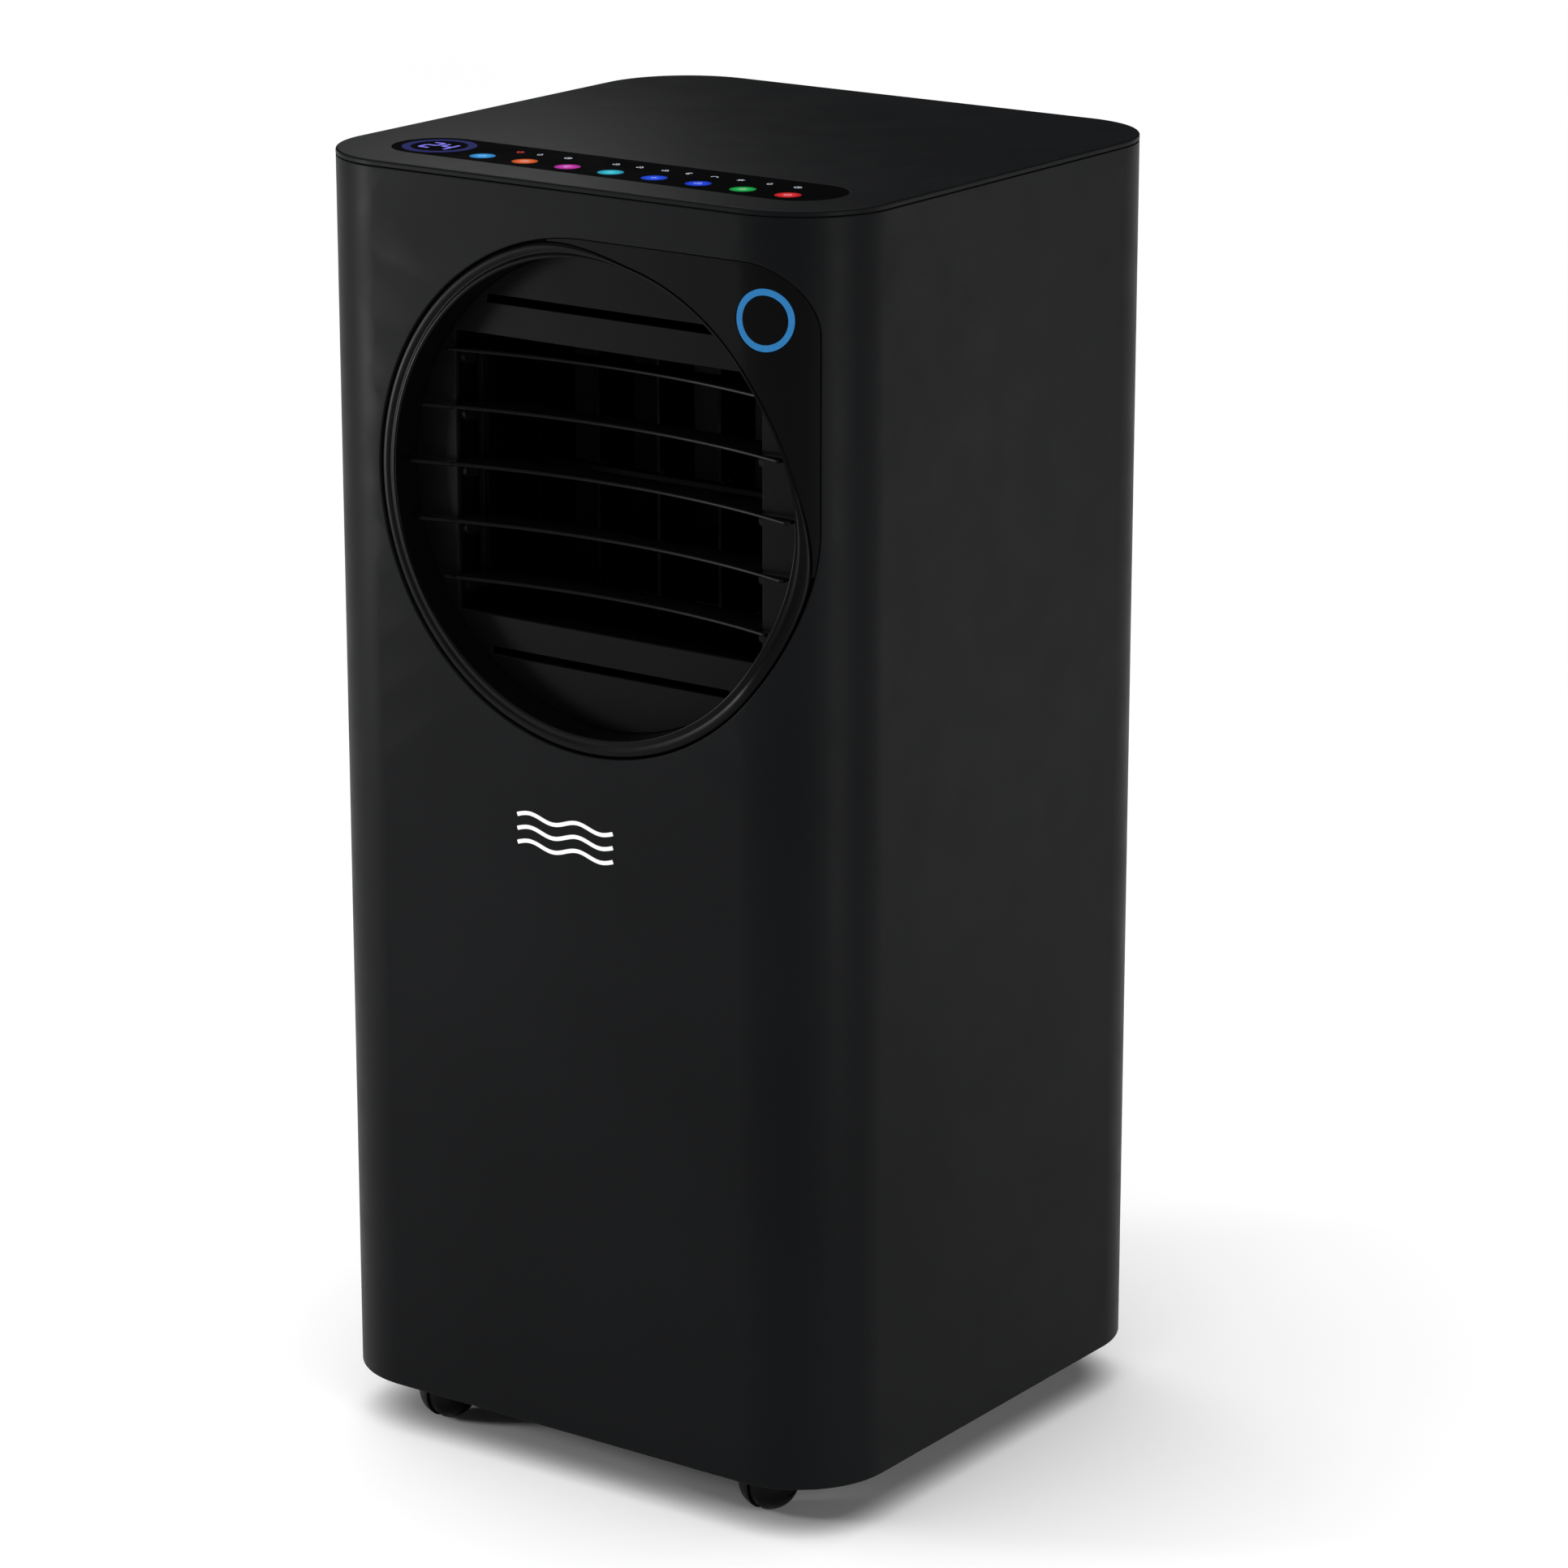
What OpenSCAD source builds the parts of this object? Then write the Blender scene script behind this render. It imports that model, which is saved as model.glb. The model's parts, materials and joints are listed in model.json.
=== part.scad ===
// Portable air conditioner: tower body on four ball casters, round air outlet with
// five tilting louvre blades, rear intake filter, exhaust collar and two drains.
// Millimetres, +Z up. Origin: floor level, at the centre of the body's footprint.
// The front faces -Y; "depth" is measured back from the front face.

/* [Body] */
// Width of the body, side to side
body_w = 336; // [300:1:420]
// Depth of the body, front to back
body_d = 322; // [310:1:400]
// Overall height from the floor to the top face
body_h = 700; // [690:1:860]
// Radius of the four upright corners, seen from above
corner_r = 53; // [40:1:62]
// Wall of the moulded covers
wall = 3; // [2.4:0.2:4]
// Height of the covers' lower edge above the floor
ground_gap = 28; // [24:1:34]
// Depth of the rear cover's side walls
rear_cover_d = 15.5; // [12:0.5:18]
// Thickness of the top cover's plate
cap_t = 3; // [2.4:0.2:4]

/* [Air outlet] */
// Outlet centre, in from the right side of the body
outlet_side = 148.5; // [140:0.5:160]
// Outlet centre, below the top face
outlet_drop = 160.5; // [155:0.5:190]
// Radius of the outlet recess
outlet_r = 124; // [110:1:130]
// Width of the band around the recess
band_w = 9.7; // [7:0.1:12]
// Radius of the leaf-shaped plate's square corner
leaf_corner_r = 36; // [20:1:50]
// Depth of the recess behind the front face
recess_depth = 18; // [17:0.5:22]
// Thickness of the recess floor
floor_t = 2.5; // [2:0.1:4]
// Distance from the recess's edge to the left and right sides of the air opening
opening_side = 27; // [26:0.5:38]
// Distance from the recess's edge to the top and bottom of the air opening
opening_end = 50; // [49:0.5:51]
// Height of the two slots above and below the opening
floor_slot_h = 4.4; // [2:0.1:5]
// Length of the air duct behind the recess floor
duct_len = 79.5; // [78:0.5:90]

/* [Louvre blades] */
// Number of tilting blades
blade_count = 5; // [5]
// Height of the blade group's centre above the outlet's centre
blade_lift = 4; // [0:0.5:4]
// Distance from the outermost blades to the ends of the air opening, before the lift
blade_margin = 13.6; // [12.8:0.1:18]
// Thickness of a blade
blade_t = 2; // [1.4:0.1:2.4]
// Depth of a blade's back edge behind the front face
blade_back = 40; // [38:0.5:41]
// Depth of the blades' pivots behind the front face
pivot_depth = 24; // [23.5:0.1:25]
// Height of a blade's lower face above its pivot
blade_rise = 4; // [3.5:0.1:4.5]
// Radius of the pivot pins
pivot_r = 2; // [1.5:0.1:2.4]
// Distance from the pivot to the tie rod's pin
crank_reach = 9; // [8:0.1:10]

/* [Upright vanes] */
// Number of upright vanes
vane_count = 5; // [5]
// Depth of a vane's front edge behind the front face
vane_front = 62; // [61:0.5:64]
// Length of a vane, front to back
vane_len = 30; // [26:0.5:34]
// Thickness of a vane
vane_t = 1.8; // [1.4:0.1:2.4]

/* [Touch panel and lens] */
// Length of the pill-shaped touch panel
panel_len = 278; // [240:1:284]
// Width of the touch panel
panel_w = 48; // [40:1:56]
// Strip between the front face and the touch panel
panel_margin = 28; // [24:1:40]
// Radius of the light ring around the receiver lens
light_ring_r = 15.7; // [12:0.1:17]
// Width of the light ring
light_ring_w = 3.2; // [2:0.1:4]
// Lens centre, below the leaf-shaped plate's top edge
lens_down = 28.5; // [26:0.5:34]
// Lens centre, in from the leaf-shaped plate's right edge
lens_side = 23.3; // [21:0.1:30]

/* [Rear] */
// Inner radius of the exhaust collar
exhaust_r = 65; // [60:1:66]
// Exhaust centre, to the right of the middle
exhaust_x = 40; // [30:1:44]
// Exhaust centre above the floor
exhaust_z = 248; // [246:1:249]
// Width of the intake filter
filter_w = 216; // [190:1:220]
// Height of the intake filter
filter_h = 280; // [240:1:284]
// Radius of the drain bores
drain_r = 6; // [5:0.1:6.5]

/* [Casters] */
// Radius of a caster wheel
wheel_r = 16.5; // [15:0.1:17]
// Distance from the swivel stem to the wheel's axle
trail = 7; // [5:0.5:8]
// Radius of the swivel stem
stem_r = 5; // [4:0.1:6]
// Stem centres, in from the sides of the body
caster_side = 60; // [58:1:66]
// Stem centres, in from the front and rear faces
caster_end = 42; // [40:1:48]

/* [Fits] */
// Gap between fixed pieces that are fitted together
fit_gap = 0.3; // [0.2:0.05:0.5]
// Radial clearance of turning pins and stems
run_gap = 0.08; // [0.05:0.01:0.1]

/* [Hidden] */
$fn = 96;
half_w = body_w / 2;
half_d = body_d / 2;
seam_y = half_d - rear_cover_d;
cover_top = body_h - cap_t - fit_gap;
sheet = 2;
side_frame_half = half_d - corner_r - 8;
duct_wall = 2.5;

// Outlet
outlet_x = half_w - outlet_side;
outlet_z = body_h - outlet_drop;
band_r = outlet_r + band_w;
leaf_r = band_r + fit_gap;
opening_w = 2 * (outlet_r - opening_side);
opening_h = 2 * (outlet_r - opening_end);
opening_left = outlet_x - opening_w / 2;
opening_right = opening_left + opening_w;
opening_bottom = outlet_z - opening_h / 2;
opening_top = opening_bottom + opening_h;
duct_front = recess_depth + floor_t;
duct_back = duct_front + duct_len;
slot_rise = opening_h / 2 + 19;
lens_x = outlet_x + leaf_r - lens_side;
lens_z = outlet_z + leaf_r - lens_down;
lens_round = max(0, lens_x - half_w + corner_r);

// Blades: the front edge is one wide arc, hollow towards the room
blade_pitch = (opening_h - 2 * blade_margin) / (blade_count - 1);
blade_edge_depth = 25;
blade_edge_sag = 20;
blade_edge_r = (outlet_r * outlet_r + blade_edge_sag * blade_edge_sag) / (2 * blade_edge_sag);
wing_back = 13.6;
wing_clear = 3;
lug_w = 3.2;
lug_r = 3.6;
side_clear = 0.6;
link_w = 5;
link_t = 3;
link_pin_r = 1.5;
notch_depth = pivot_depth + 3;
motor_crank_depth = pivot_depth + 22;

// Vanes
vane_pitch = opening_w / vane_count;
vane_axis_depth = vane_front + vane_len * 0.55;
vane_pin_depth = vane_front + 4;
vane_link_w = 6;
vane_notch_h = 8;

// Blowers and coils
scroll_wall = 2.5;
scroll_front = -half_d + duct_back;
scroll_back = half_d - 106;
upper_motor_r = 36;
upper_wheel_z = opening_bottom - duct_wall - upper_motor_r - 2;
upper_scroll_r = 92;
upper_wheel_r = 76;
upper_intake_r = 56;
deck_z = upper_wheel_z - upper_scroll_r - 10;
lower_wheel_z = 128;
lower_scroll_r = 78;
lower_wheel_r = 62;
lower_intake_r = 44;
lower_front = -25;
lower_motor_r = 34;
throat_top = exhaust_z + exhaust_r + 6;
collar_wall = 3;
coil_t = 30;
coil_back = half_d - 53;
coil_half = half_w - 28;
condenser_bottom = 56;
condenser_top = 172;
evaporator_top = body_h - 60;
tray_bottom = deck_z + sheet + 1;

// Base pan
pan_bottom = 2 * wheel_r + 6;
pan_t = 3;
pan_floor = pan_bottom + pan_t;
pan_rim = pan_bottom + 20;
caster_x = half_w - caster_side;
caster_y = half_d - caster_end;

// Compressor
compressor_x = -half_w + 73;
compressor_y = -half_d + 111;
compressor_r = 48;
compressor_foot_r = 50;
grommet_h = 12;

// Rear
filter_bottom = body_h - 330;
filter_t = 9;
screw_x = filter_w / 2 + 4;
screw_zs = [180, filter_bottom - 18, filter_bottom + filter_h + 14];
drain_flange_r = 11;
lower_drain = [-half_w + 108, pan_bottom + 11.5];
upper_drain = [-half_w + 38 + drain_r, tray_bottom + 11];
gland_x = -half_w + 68;
gland_z = 250;

// ---------- shared shapes ----------

function from_front(depth) = -half_d + depth;

module round_rect(w, d, r) {
    square([w - 2 * r, d], center = true);
    square([w, d - 2 * r], center = true);
    for (sx = [-1, 1], sy = [-1, 1])
        translate([sx * (w / 2 - r), sy * (d / 2 - r)]) circle(r);
}

// The body's outline, inset all round, between two heights
module body_prism(inset, z0, z1) {
    translate([0, 0, z0]) linear_extrude(z1 - z0)
        round_rect(body_w - 2 * inset, body_d - 2 * inset, corner_r - inset);
}

module body_shell(inset, thickness, z0, z1) {
    difference() {
        body_prism(inset, z0, z1);
        body_prism(inset + thickness, z0 - 1, z1 + 1);
    }
}

// A box given by its two corners
module block(low, high) {
    translate(low) cube(high - low);
}

// Cylinders along one axis, from one coordinate to another
module rod_x(r, x0, x1, y, z) {
    translate([x0, y, z]) rotate([0, 90, 0]) cylinder(r = r, h = x1 - x0);
}
module rod_y(r, y0, y1, x, z) {
    translate([x, y1, z]) rotate([90, 0, 0]) cylinder(r = r, h = y1 - y0);
}
module rod_z(r, z0, z1, x, y) {
    translate([x, y, z0]) cylinder(r = r, h = z1 - z0);
}

// Extrudes an outline drawn in x and z, from one y to another
module along_y(y0, y1) {
    translate([0, y1, 0]) rotate([90, 0, 0]) linear_extrude(y1 - y0) children();
}

// Bent tube as straight rods with brazed balls at the corners
module tube_run(points, r) {
    for (i = [0 : len(points) - 2]) {
        step = points[i + 1] - points[i];
        turn = atan2(step[1], step[0]);
        lean = acos(step[2] / norm(step));
        translate(points[i]) rotate([0, lean, turn]) cylinder(r = r, h = norm(step), $fn = 32);
    }
    for (i = [1 : len(points) - 2]) translate(points[i]) sphere(r * 1.15, $fn = 32);
}

// ---------- outlet ----------

// Circle of the outlet with its upper right quarter squared off to a rounded corner
module leaf_outline(r, corner) {
    translate([outlet_x, outlet_z]) {
        circle(r, $fn = 180);
        square([r - corner, r]);
        square([r, r - corner]);
        translate([r - corner, r - corner]) circle(corner);
    }
}

module outlet_bore(r, depth0, depth1) {
    along_y(from_front(depth0), from_front(depth1))
        translate([outlet_x, outlet_z]) circle(r, $fn = 180);
}

// Cylinder square to the body's surface at the lens
module lens_bore(r, in, out) {
    translate([lens_x - lens_round, -half_d + corner_r, lens_z])
        rotate([0, 0, asin(lens_round / corner_r)])
            rod_y(r, -corner_r - out, -corner_r + in, 0, 0);
}

module outlet_ring() {
    color([0.15, 0.15, 0.16]) {
        intersection() {
            body_shell(0, wall + 1, outlet_z - 2 * band_r, body_h);
            difference() {
                outlet_bore(band_r, -1, body_d / 4);
                outlet_bore(outlet_r, -2, body_d / 4 + 1);
            }
        }
        intersection() {
            body_prism(0, 0, body_h);
            difference() {
                outlet_bore(outlet_r + duct_wall, -1, duct_front);
                outlet_bore(outlet_r, -2, duct_front + 1);
            }
        }
    }
}

module leaf_plate() {
    rim = 4;
    color([0.12, 0.12, 0.13]) difference() {
        union() {
            intersection() {
                body_shell(1, wall + fit_gap, outlet_z - 2 * band_r, cover_top - 12);
                along_y(-half_d - 1, 0) leaf_outline(leaf_r - fit_gap, leaf_corner_r);
            }
            intersection() {
                body_shell(wall + fit_gap, 2, outlet_z - 2 * band_r, cover_top - 12);
                along_y(-half_d - 1, 0) leaf_outline(leaf_r + rim, leaf_corner_r + rim);
            }
        }
        outlet_bore(band_r + fit_gap, -1, body_d / 4);
        lens_bore(light_ring_r + fit_gap / 2, wall * 4, 1);
        block([-half_w, -half_d - 1, 0], [outlet_x, 0, body_h]);
        block([-half_w, -half_d - 1, 0], [half_w, 0, outlet_z]);
    }
}

module light_ring() {
    color([0.2, 0.5, 0.75]) intersection() {
        body_shell(0.6, wall, 0, body_h);
        difference() {
            lens_bore(light_ring_r, wall * 4, 1);
            lens_bore(light_ring_r - light_ring_w, wall * 4 + 1, 2);
        }
    }
}

module receiver_lens() {
    color([0.06, 0.06, 0.07]) intersection() {
        body_shell(1, wall, 0, body_h);
        lens_bore(light_ring_r - light_ring_w - fit_gap / 2, wall * 4, 1);
    }
}

module outlet_floor() {
    y0 = from_front(recess_depth);
    y1 = from_front(duct_front);
    color([0.16, 0.16, 0.16]) difference() {
        outlet_bore(outlet_r - fit_gap / 2, recess_depth, duct_front);
        block([opening_left, y0 - 1, opening_bottom], [opening_right, y1 + 1, opening_top]);
        for (side = [-1, 1]) {
            slot_z = outlet_z + side * slot_rise;
            far = slot_rise + floor_slot_h / 2;
            reach = sqrt(outlet_r * outlet_r - far * far) - 3;
            block([outlet_x - reach, y0 - 1, slot_z - floor_slot_h / 2],
                  [outlet_x + reach, y1 + 1, slot_z + floor_slot_h / 2]);
        }
    }
}

function blade_z(i) = outlet_z + blade_lift - (i - (blade_count + 1) / 2) * blade_pitch;
function pivot_z(i) = blade_z(i) - blade_rise - blade_t / 2;
function vane_x(i) = opening_left + (i - 0.5) * vane_pitch;

module outlet_duct() {
    y0 = from_front(duct_front);
    y1 = from_front(duct_back);
    color([0.1, 0.1, 0.1]) difference() {
        block([opening_left - duct_wall, y0, opening_bottom - duct_wall],
              [opening_right + duct_wall, y1, opening_top + duct_wall]);
        block([opening_left, y0 - 1, opening_bottom], [opening_right, y1 + 1, opening_top]);
        for (i = [1 : blade_count])
            rod_x(pivot_r + run_gap, opening_left - duct_wall - 1, opening_right + duct_wall + 1,
                  from_front(pivot_depth), pivot_z(i));
        rod_x(pivot_r + run_gap, opening_left - duct_wall - 1, opening_left + 1,
              from_front(motor_crank_depth), motor_z);
        for (i = [1 : vane_count])
            rod_z(pivot_r + run_gap, opening_bottom - duct_wall - 1, opening_top + duct_wall + 1,
                  vane_x(i), from_front(vane_axis_depth));
    }
}

// ---------- louvre blades ----------

motor_z = pivot_z((blade_count + 1) / 2);
lug_left = opening_left + side_clear;
link_left = lug_left + lug_w + side_clear;
link_right = link_left + link_t;

// Blade in its own frame: x as on the body, y and z measured from the pivot
module louver_blade(rise_z) {
    reach = sqrt(pow(outlet_r - wing_clear, 2) - pow(abs(rise_z - outlet_z) + 6, 2));
    edge_y = blade_edge_depth - pivot_depth;
    wing_y = wing_back - pivot_depth;
    back_y = blade_back - pivot_depth;
    low_x = opening_left + side_clear;
    high_x = opening_right - side_clear;
    notch_x = link_right + 1.2;
    color([0.13, 0.13, 0.14]) {
        translate([0, 0, blade_rise]) linear_extrude(blade_t) difference() {
            union() {
                translate([outlet_x - reach, edge_y - blade_edge_sag])
                    square([2 * reach, wing_y - edge_y + blade_edge_sag]);
                translate([low_x, wing_y - 1])
                    square([high_x - low_x, back_y - wing_y + 1]);
            }
            translate([outlet_x, edge_y - blade_edge_r]) circle(blade_edge_r, $fn = 360);
            translate([low_x - 1, notch_depth - pivot_depth]) square([notch_x - low_x + 1, 99]);
        }
        // Left lug carries the pivot pin outwards and the tie rod's pin inwards
        translate([low_x, 0, 0]) rotate([90, 0, 90]) linear_extrude(lug_w) {
            circle(lug_r);
            translate([0, -lug_r]) square([crank_reach, 2 * lug_r]);
            translate([crank_reach, 0]) circle(lug_r);
            translate([-lug_r, 0]) square([notch_depth - pivot_depth + lug_r, blade_rise]);
        }
        translate([high_x - lug_w, 0, 0]) rotate([90, 0, 90]) linear_extrude(lug_w) {
            circle(lug_r);
            translate([-lug_r, 0]) square([2 * lug_r, blade_rise]);
        }
        rod_x(pivot_r, opening_left - duct_wall, low_x + 1, 0, 0);
        rod_x(pivot_r, high_x - 1, opening_right + duct_wall, 0, 0);
        rod_x(link_pin_r, low_x + 1, link_right + 0.5, crank_reach, 0);
    }
}

module placed_blade(i) {
    translate([0, from_front(pivot_depth), pivot_z(i)])
        louver_blade(blade_z(i));
}

module louver_blade_1() placed_blade(1);
module louver_blade_2() placed_blade(2);
module louver_blade_3() placed_blade(3);
module louver_blade_4() placed_blade(4);
module louver_blade_5() placed_blade(5);

module louver_link() {
    rod_y0 = from_front(pivot_depth + crank_reach);
    arm_y1 = from_front(motor_crank_depth + crank_reach);
    low = pivot_z(blade_count);
    high = pivot_z(1);
    color([0.2, 0.2, 0.2]) difference() {
        union() {
            block([link_left, rod_y0 - link_w / 2, low], [link_right, rod_y0 + link_w / 2, high]);
            rod_x(link_w / 2, link_left, link_right, rod_y0, low);
            rod_x(link_w / 2, link_left, link_right, rod_y0, high);
            block([link_left, rod_y0, motor_z - link_w / 2],
                  [link_right, arm_y1, motor_z + link_w / 2]);
            rod_x(link_w / 2, link_left, link_right, arm_y1, motor_z);
        }
        for (i = [1 : blade_count])
            rod_x(link_pin_r + run_gap, link_left - 1, link_right + 1, rod_y0, pivot_z(i));
        rod_x(link_pin_r + run_gap, link_left - 1, link_right + 1, arm_y1, motor_z);
    }
}

module louver_crank() {
    y = from_front(motor_crank_depth);
    color([0.75, 0.75, 0.72]) {
        rod_x(pivot_r, opening_left - duct_wall - 6, lug_left + 1, y, motor_z);
        translate([lug_left, y, motor_z]) rotate([90, 0, 90]) linear_extrude(lug_w) {
            circle(lug_r);
            translate([0, -2.5]) square([crank_reach, 5]);
            translate([crank_reach, 0]) circle(2.5);
        }
        rod_x(link_pin_r, lug_left + 1, link_right + 0.5, y + crank_reach, motor_z);
    }
}

module louver_motor() {
    y = from_front(motor_crank_depth);
    x1 = opening_left - duct_wall;
    color([0.7, 0.7, 0.68]) difference() {
        union() {
            rod_x(12, x1 - 16, x1, y, motor_z);
            block([x1 - 1.5, y - 3.5, motor_z - 18], [x1, y + 3.5, motor_z + 18]);
        }
        rod_x(pivot_r + run_gap, x1 - 7, x1 + 1, y, motor_z);
    }
}

// ---------- upright vanes ----------

module placed_vane(i) {
    axis_y = from_front(vane_axis_depth);
    pin_y = from_front(vane_pin_depth);
    front_y = from_front(vane_front);
    x = vane_x(i);
    gap = 0.8;
    color([0.1, 0.1, 0.1]) {
        difference() {
            block([x - vane_t / 2, front_y, opening_bottom + gap],
                  [x + vane_t / 2, front_y + vane_len, opening_top - gap]);
            block([x - vane_t, front_y - 1, outlet_z - vane_notch_h / 2],
                  [x + vane_t, pin_y + vane_link_w / 2 + 2.2, outlet_z + vane_notch_h / 2]);
        }
        rod_z(1.2, outlet_z - vane_notch_h / 2 - 1, outlet_z + vane_notch_h / 2 + 1, x, pin_y);
        rod_z(pivot_r, opening_bottom - duct_wall, opening_bottom + gap + 3, x, axis_y);
        rod_z(pivot_r, opening_top - gap - 3, opening_top + duct_wall, x, axis_y);
    }
}

module vane_1() placed_vane(1);
module vane_2() placed_vane(2);
module vane_3() placed_vane(3);
module vane_4() placed_vane(4);
module vane_5() placed_vane(5);

module vane_link() {
    pin_y = from_front(vane_pin_depth);
    color([0.2, 0.2, 0.2]) translate([0, 0, outlet_z - 1.5]) linear_extrude(3) difference() {
        union() {
            translate([vane_x(1), pin_y - vane_link_w / 2])
                square([vane_x(vane_count) - vane_x(1), vane_link_w]);
            for (i = [1, vane_count]) translate([vane_x(i), pin_y]) circle(vane_link_w / 2);
        }
        for (i = [1 : vane_count]) translate([vane_x(i), pin_y]) circle(1.2 + run_gap);
    }
}

// ---------- covers ----------

module front_cover() {
    color([0.13, 0.13, 0.135]) difference() {
        body_shell(0, wall, ground_gap, cover_top);
        block([-body_w, seam_y - fit_gap / 2, 0], [body_w, body_d, body_h]);
        along_y(-half_d - 1, 0) leaf_outline(leaf_r, leaf_corner_r);
    }
}

module slot_row(x, z, length, height) {
    along_y(half_d - wall - 1, half_d + 1) translate([x, z]) round_rect(length, height, height / 2.01);
}

module filter_outline(grow) {
    translate([0, filter_bottom + filter_h / 2])
        round_rect(filter_w + 2 * grow, filter_h + 2 * grow, 8 + grow);
}

module rear_cover() {
    ledge = 2.5;
    pocket_y = half_d - filter_t - fit_gap;
    color([0.13, 0.13, 0.135]) difference() {
        union() {
            intersection() {
                body_shell(0, wall, ground_gap, cover_top);
                block([-body_w, seam_y + fit_gap / 2, 0], [body_w, body_d, body_h]);
            }
            along_y(pocket_y - ledge, half_d - wall + 0.5) filter_outline(wall - 0.5);
            for (side = [-1, 1], z = screw_zs) rod_y(5, seam_y + 4, half_d - 1, side * screw_x, z);
        }
        along_y(pocket_y, half_d + 1) filter_outline(fit_gap);
        along_y(pocket_y - ledge - 1, half_d + 1) filter_outline(-6);
        rod_y(exhaust_r + collar_wall + fit_gap, seam_y, half_d + 1, exhaust_x, exhaust_z);
        rod_y(drain_flange_r + 1, seam_y, half_d + 1, lower_drain[0], lower_drain[1]);
        rod_y(drain_flange_r + 1, seam_y, half_d + 1, upper_drain[0], upper_drain[1]);
        rod_y(9 + fit_gap, seam_y, half_d + 1, gland_x, gland_z);
        for (side = [-1, 1], z = screw_zs) {
            rod_y(2.2, seam_y, half_d + 1, side * screw_x, z);
            rod_y(3.8, half_d - 2.6, half_d + 1, side * screw_x, z);
        }
        for (side = [-1, 1], z = [condenser_bottom + 14 : 8 : condenser_top - 8])
            slot_row(side * 54, z, 96, 4);
    }
}

module panel_outline(grow) {
    translate([1, -half_d + panel_margin + panel_w / 2])
        round_rect(panel_len + 2 * grow, panel_w + 2 * grow, panel_w / 2.01 + grow);
}

module top_cover() {
    skirt_in = wall + fit_gap;
    color([0.17, 0.17, 0.175]) difference() {
        union() {
            body_prism(0, body_h - cap_t, body_h);
            body_shell(skirt_in, 2, body_h - cap_t - 8, body_h - cap_t);
        }
        translate([0, 0, body_h - cap_t - 20]) linear_extrude(30) panel_outline(fit_gap / 2);
    }
}

module touch_panel() {
    color([0.02, 0.02, 0.03]) difference() {
        union() {
            translate([0, 0, body_h - cap_t]) linear_extrude(cap_t) panel_outline(0);
            translate([0, 0, body_h - cap_t - 1.6 - fit_gap / 2]) linear_extrude(1.6)
                panel_outline(-2);
            translate([0, 0, body_h - cap_t - 1]) linear_extrude(2) panel_outline(-2);
        }
        for (k = [0 : 7]) key_disc(k, 6.1, 0.6, 1);
    }
}

// One of the eight round touch keys
module key_disc(k, r, depth, over) {
    key_pitch = panel_len * 0.0987;
    rod_z(r, body_h - depth, body_h + over, 1 - 0.283 * panel_len + k * key_pitch,
          -half_d + panel_margin + 15);
}

module key_lenses() {
    color([0.3, 0.6, 0.9]) for (k = [0 : 7]) key_disc(k, 6, 0.6, 0);
}

module control_board() {
    z1 = body_h - cap_t - 1.6 - fit_gap;
    y0 = -half_d + panel_margin + 3;
    color([0.1, 0.35, 0.2]) {
        block([-panel_len / 2 + 12, y0, z1 - 3.6], [panel_len / 2 - 12, y0 + panel_w - 6, z1 - 2]);
        for (x = [-90 : 30 : 90])
            block([x - 4, y0 + 8, z1 - 2], [x + 4, y0 + 16, z1 - 0.2]);
        block([60, y0 + 24, z1 - 9], [90, y0 + 36, z1 - 3.6]);
    }
}

// ---------- chassis ----------

module caster_places() {
    for (sx = [-1, 1], sy = [-1, 1]) translate([sx * caster_x, sy * caster_y, 0]) children();
}

module base_pan() {
    color([0.08, 0.08, 0.08]) difference() {
        union() {
            difference() {
                body_prism(wall + fit_gap, pan_bottom, pan_rim);
                body_prism(wall + fit_gap + 2.5, pan_floor, pan_rim + 1);
            }
            caster_places() rod_z(stem_r + 4, pan_bottom, pan_bottom + 18, 0, 0);
            compressor_feet() rod_z(3, pan_floor - 1, compressor_z + 8, 0, 0);
            rod_y(drain_r + 3, half_d - 30, half_d - 3, lower_drain[0], lower_drain[1]);
        }
        caster_places() rod_z(stem_r + run_gap, pan_bottom - 1, pan_bottom + 15, 0, 0);
        rod_y(drain_r, half_d - 31, half_d, lower_drain[0], lower_drain[1]);
    }
}

module side_frames() {
    x0 = half_w - wall - sheet;
    color([0.6, 0.62, 0.64]) for (turn = [0, 180]) rotate(turn) difference() {
        block([x0, -side_frame_half, pan_rim + 1],
              [x0 + sheet, side_frame_half, cover_top - 16]);
        for (z = [deck_z - 150 : 60 : body_h - 80]) rod_x(14, x0 - 1, x0 + 9, 30, z);
    }
}

module divider_deck() {
    color([0.6, 0.62, 0.64]) difference() {
        body_prism(wall + sheet + fit_gap, deck_z, deck_z + sheet);
        rod_z(9, deck_z - 1, deck_z + 9, pipe_x, suction_y);
        rod_z(7, deck_z - 1, deck_z + 9, liquid_x, liquid_y);
    }
}

// ---------- upper air path ----------

module volute_outline(r, x, z, low_x, high_x, top) {
    translate([x, z]) circle(r, $fn = 120);
    translate([low_x, z]) square([high_x - low_x, top - z]);
}

module upper_scroll() {
    w = scroll_wall;
    color([0.75, 0.75, 0.73]) difference() {
        along_y(scroll_front, scroll_back) volute_outline(upper_scroll_r, outlet_x, upper_wheel_z,
            opening_left - w, opening_right + w, opening_top + w);
        along_y(scroll_front + w, scroll_back - w) volute_outline(upper_scroll_r - w, outlet_x,
            upper_wheel_z, opening_left, opening_right, opening_top);
        block([opening_left, scroll_front - 1, opening_bottom],
              [opening_right, scroll_front + w + 1, opening_top]);
        rod_y(8, scroll_front - 1, scroll_front + w + 1, outlet_x, upper_wheel_z);
        rod_y(upper_intake_r, scroll_back - w - 1, scroll_back + 1, outlet_x, upper_wheel_z);
    }
}

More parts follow.
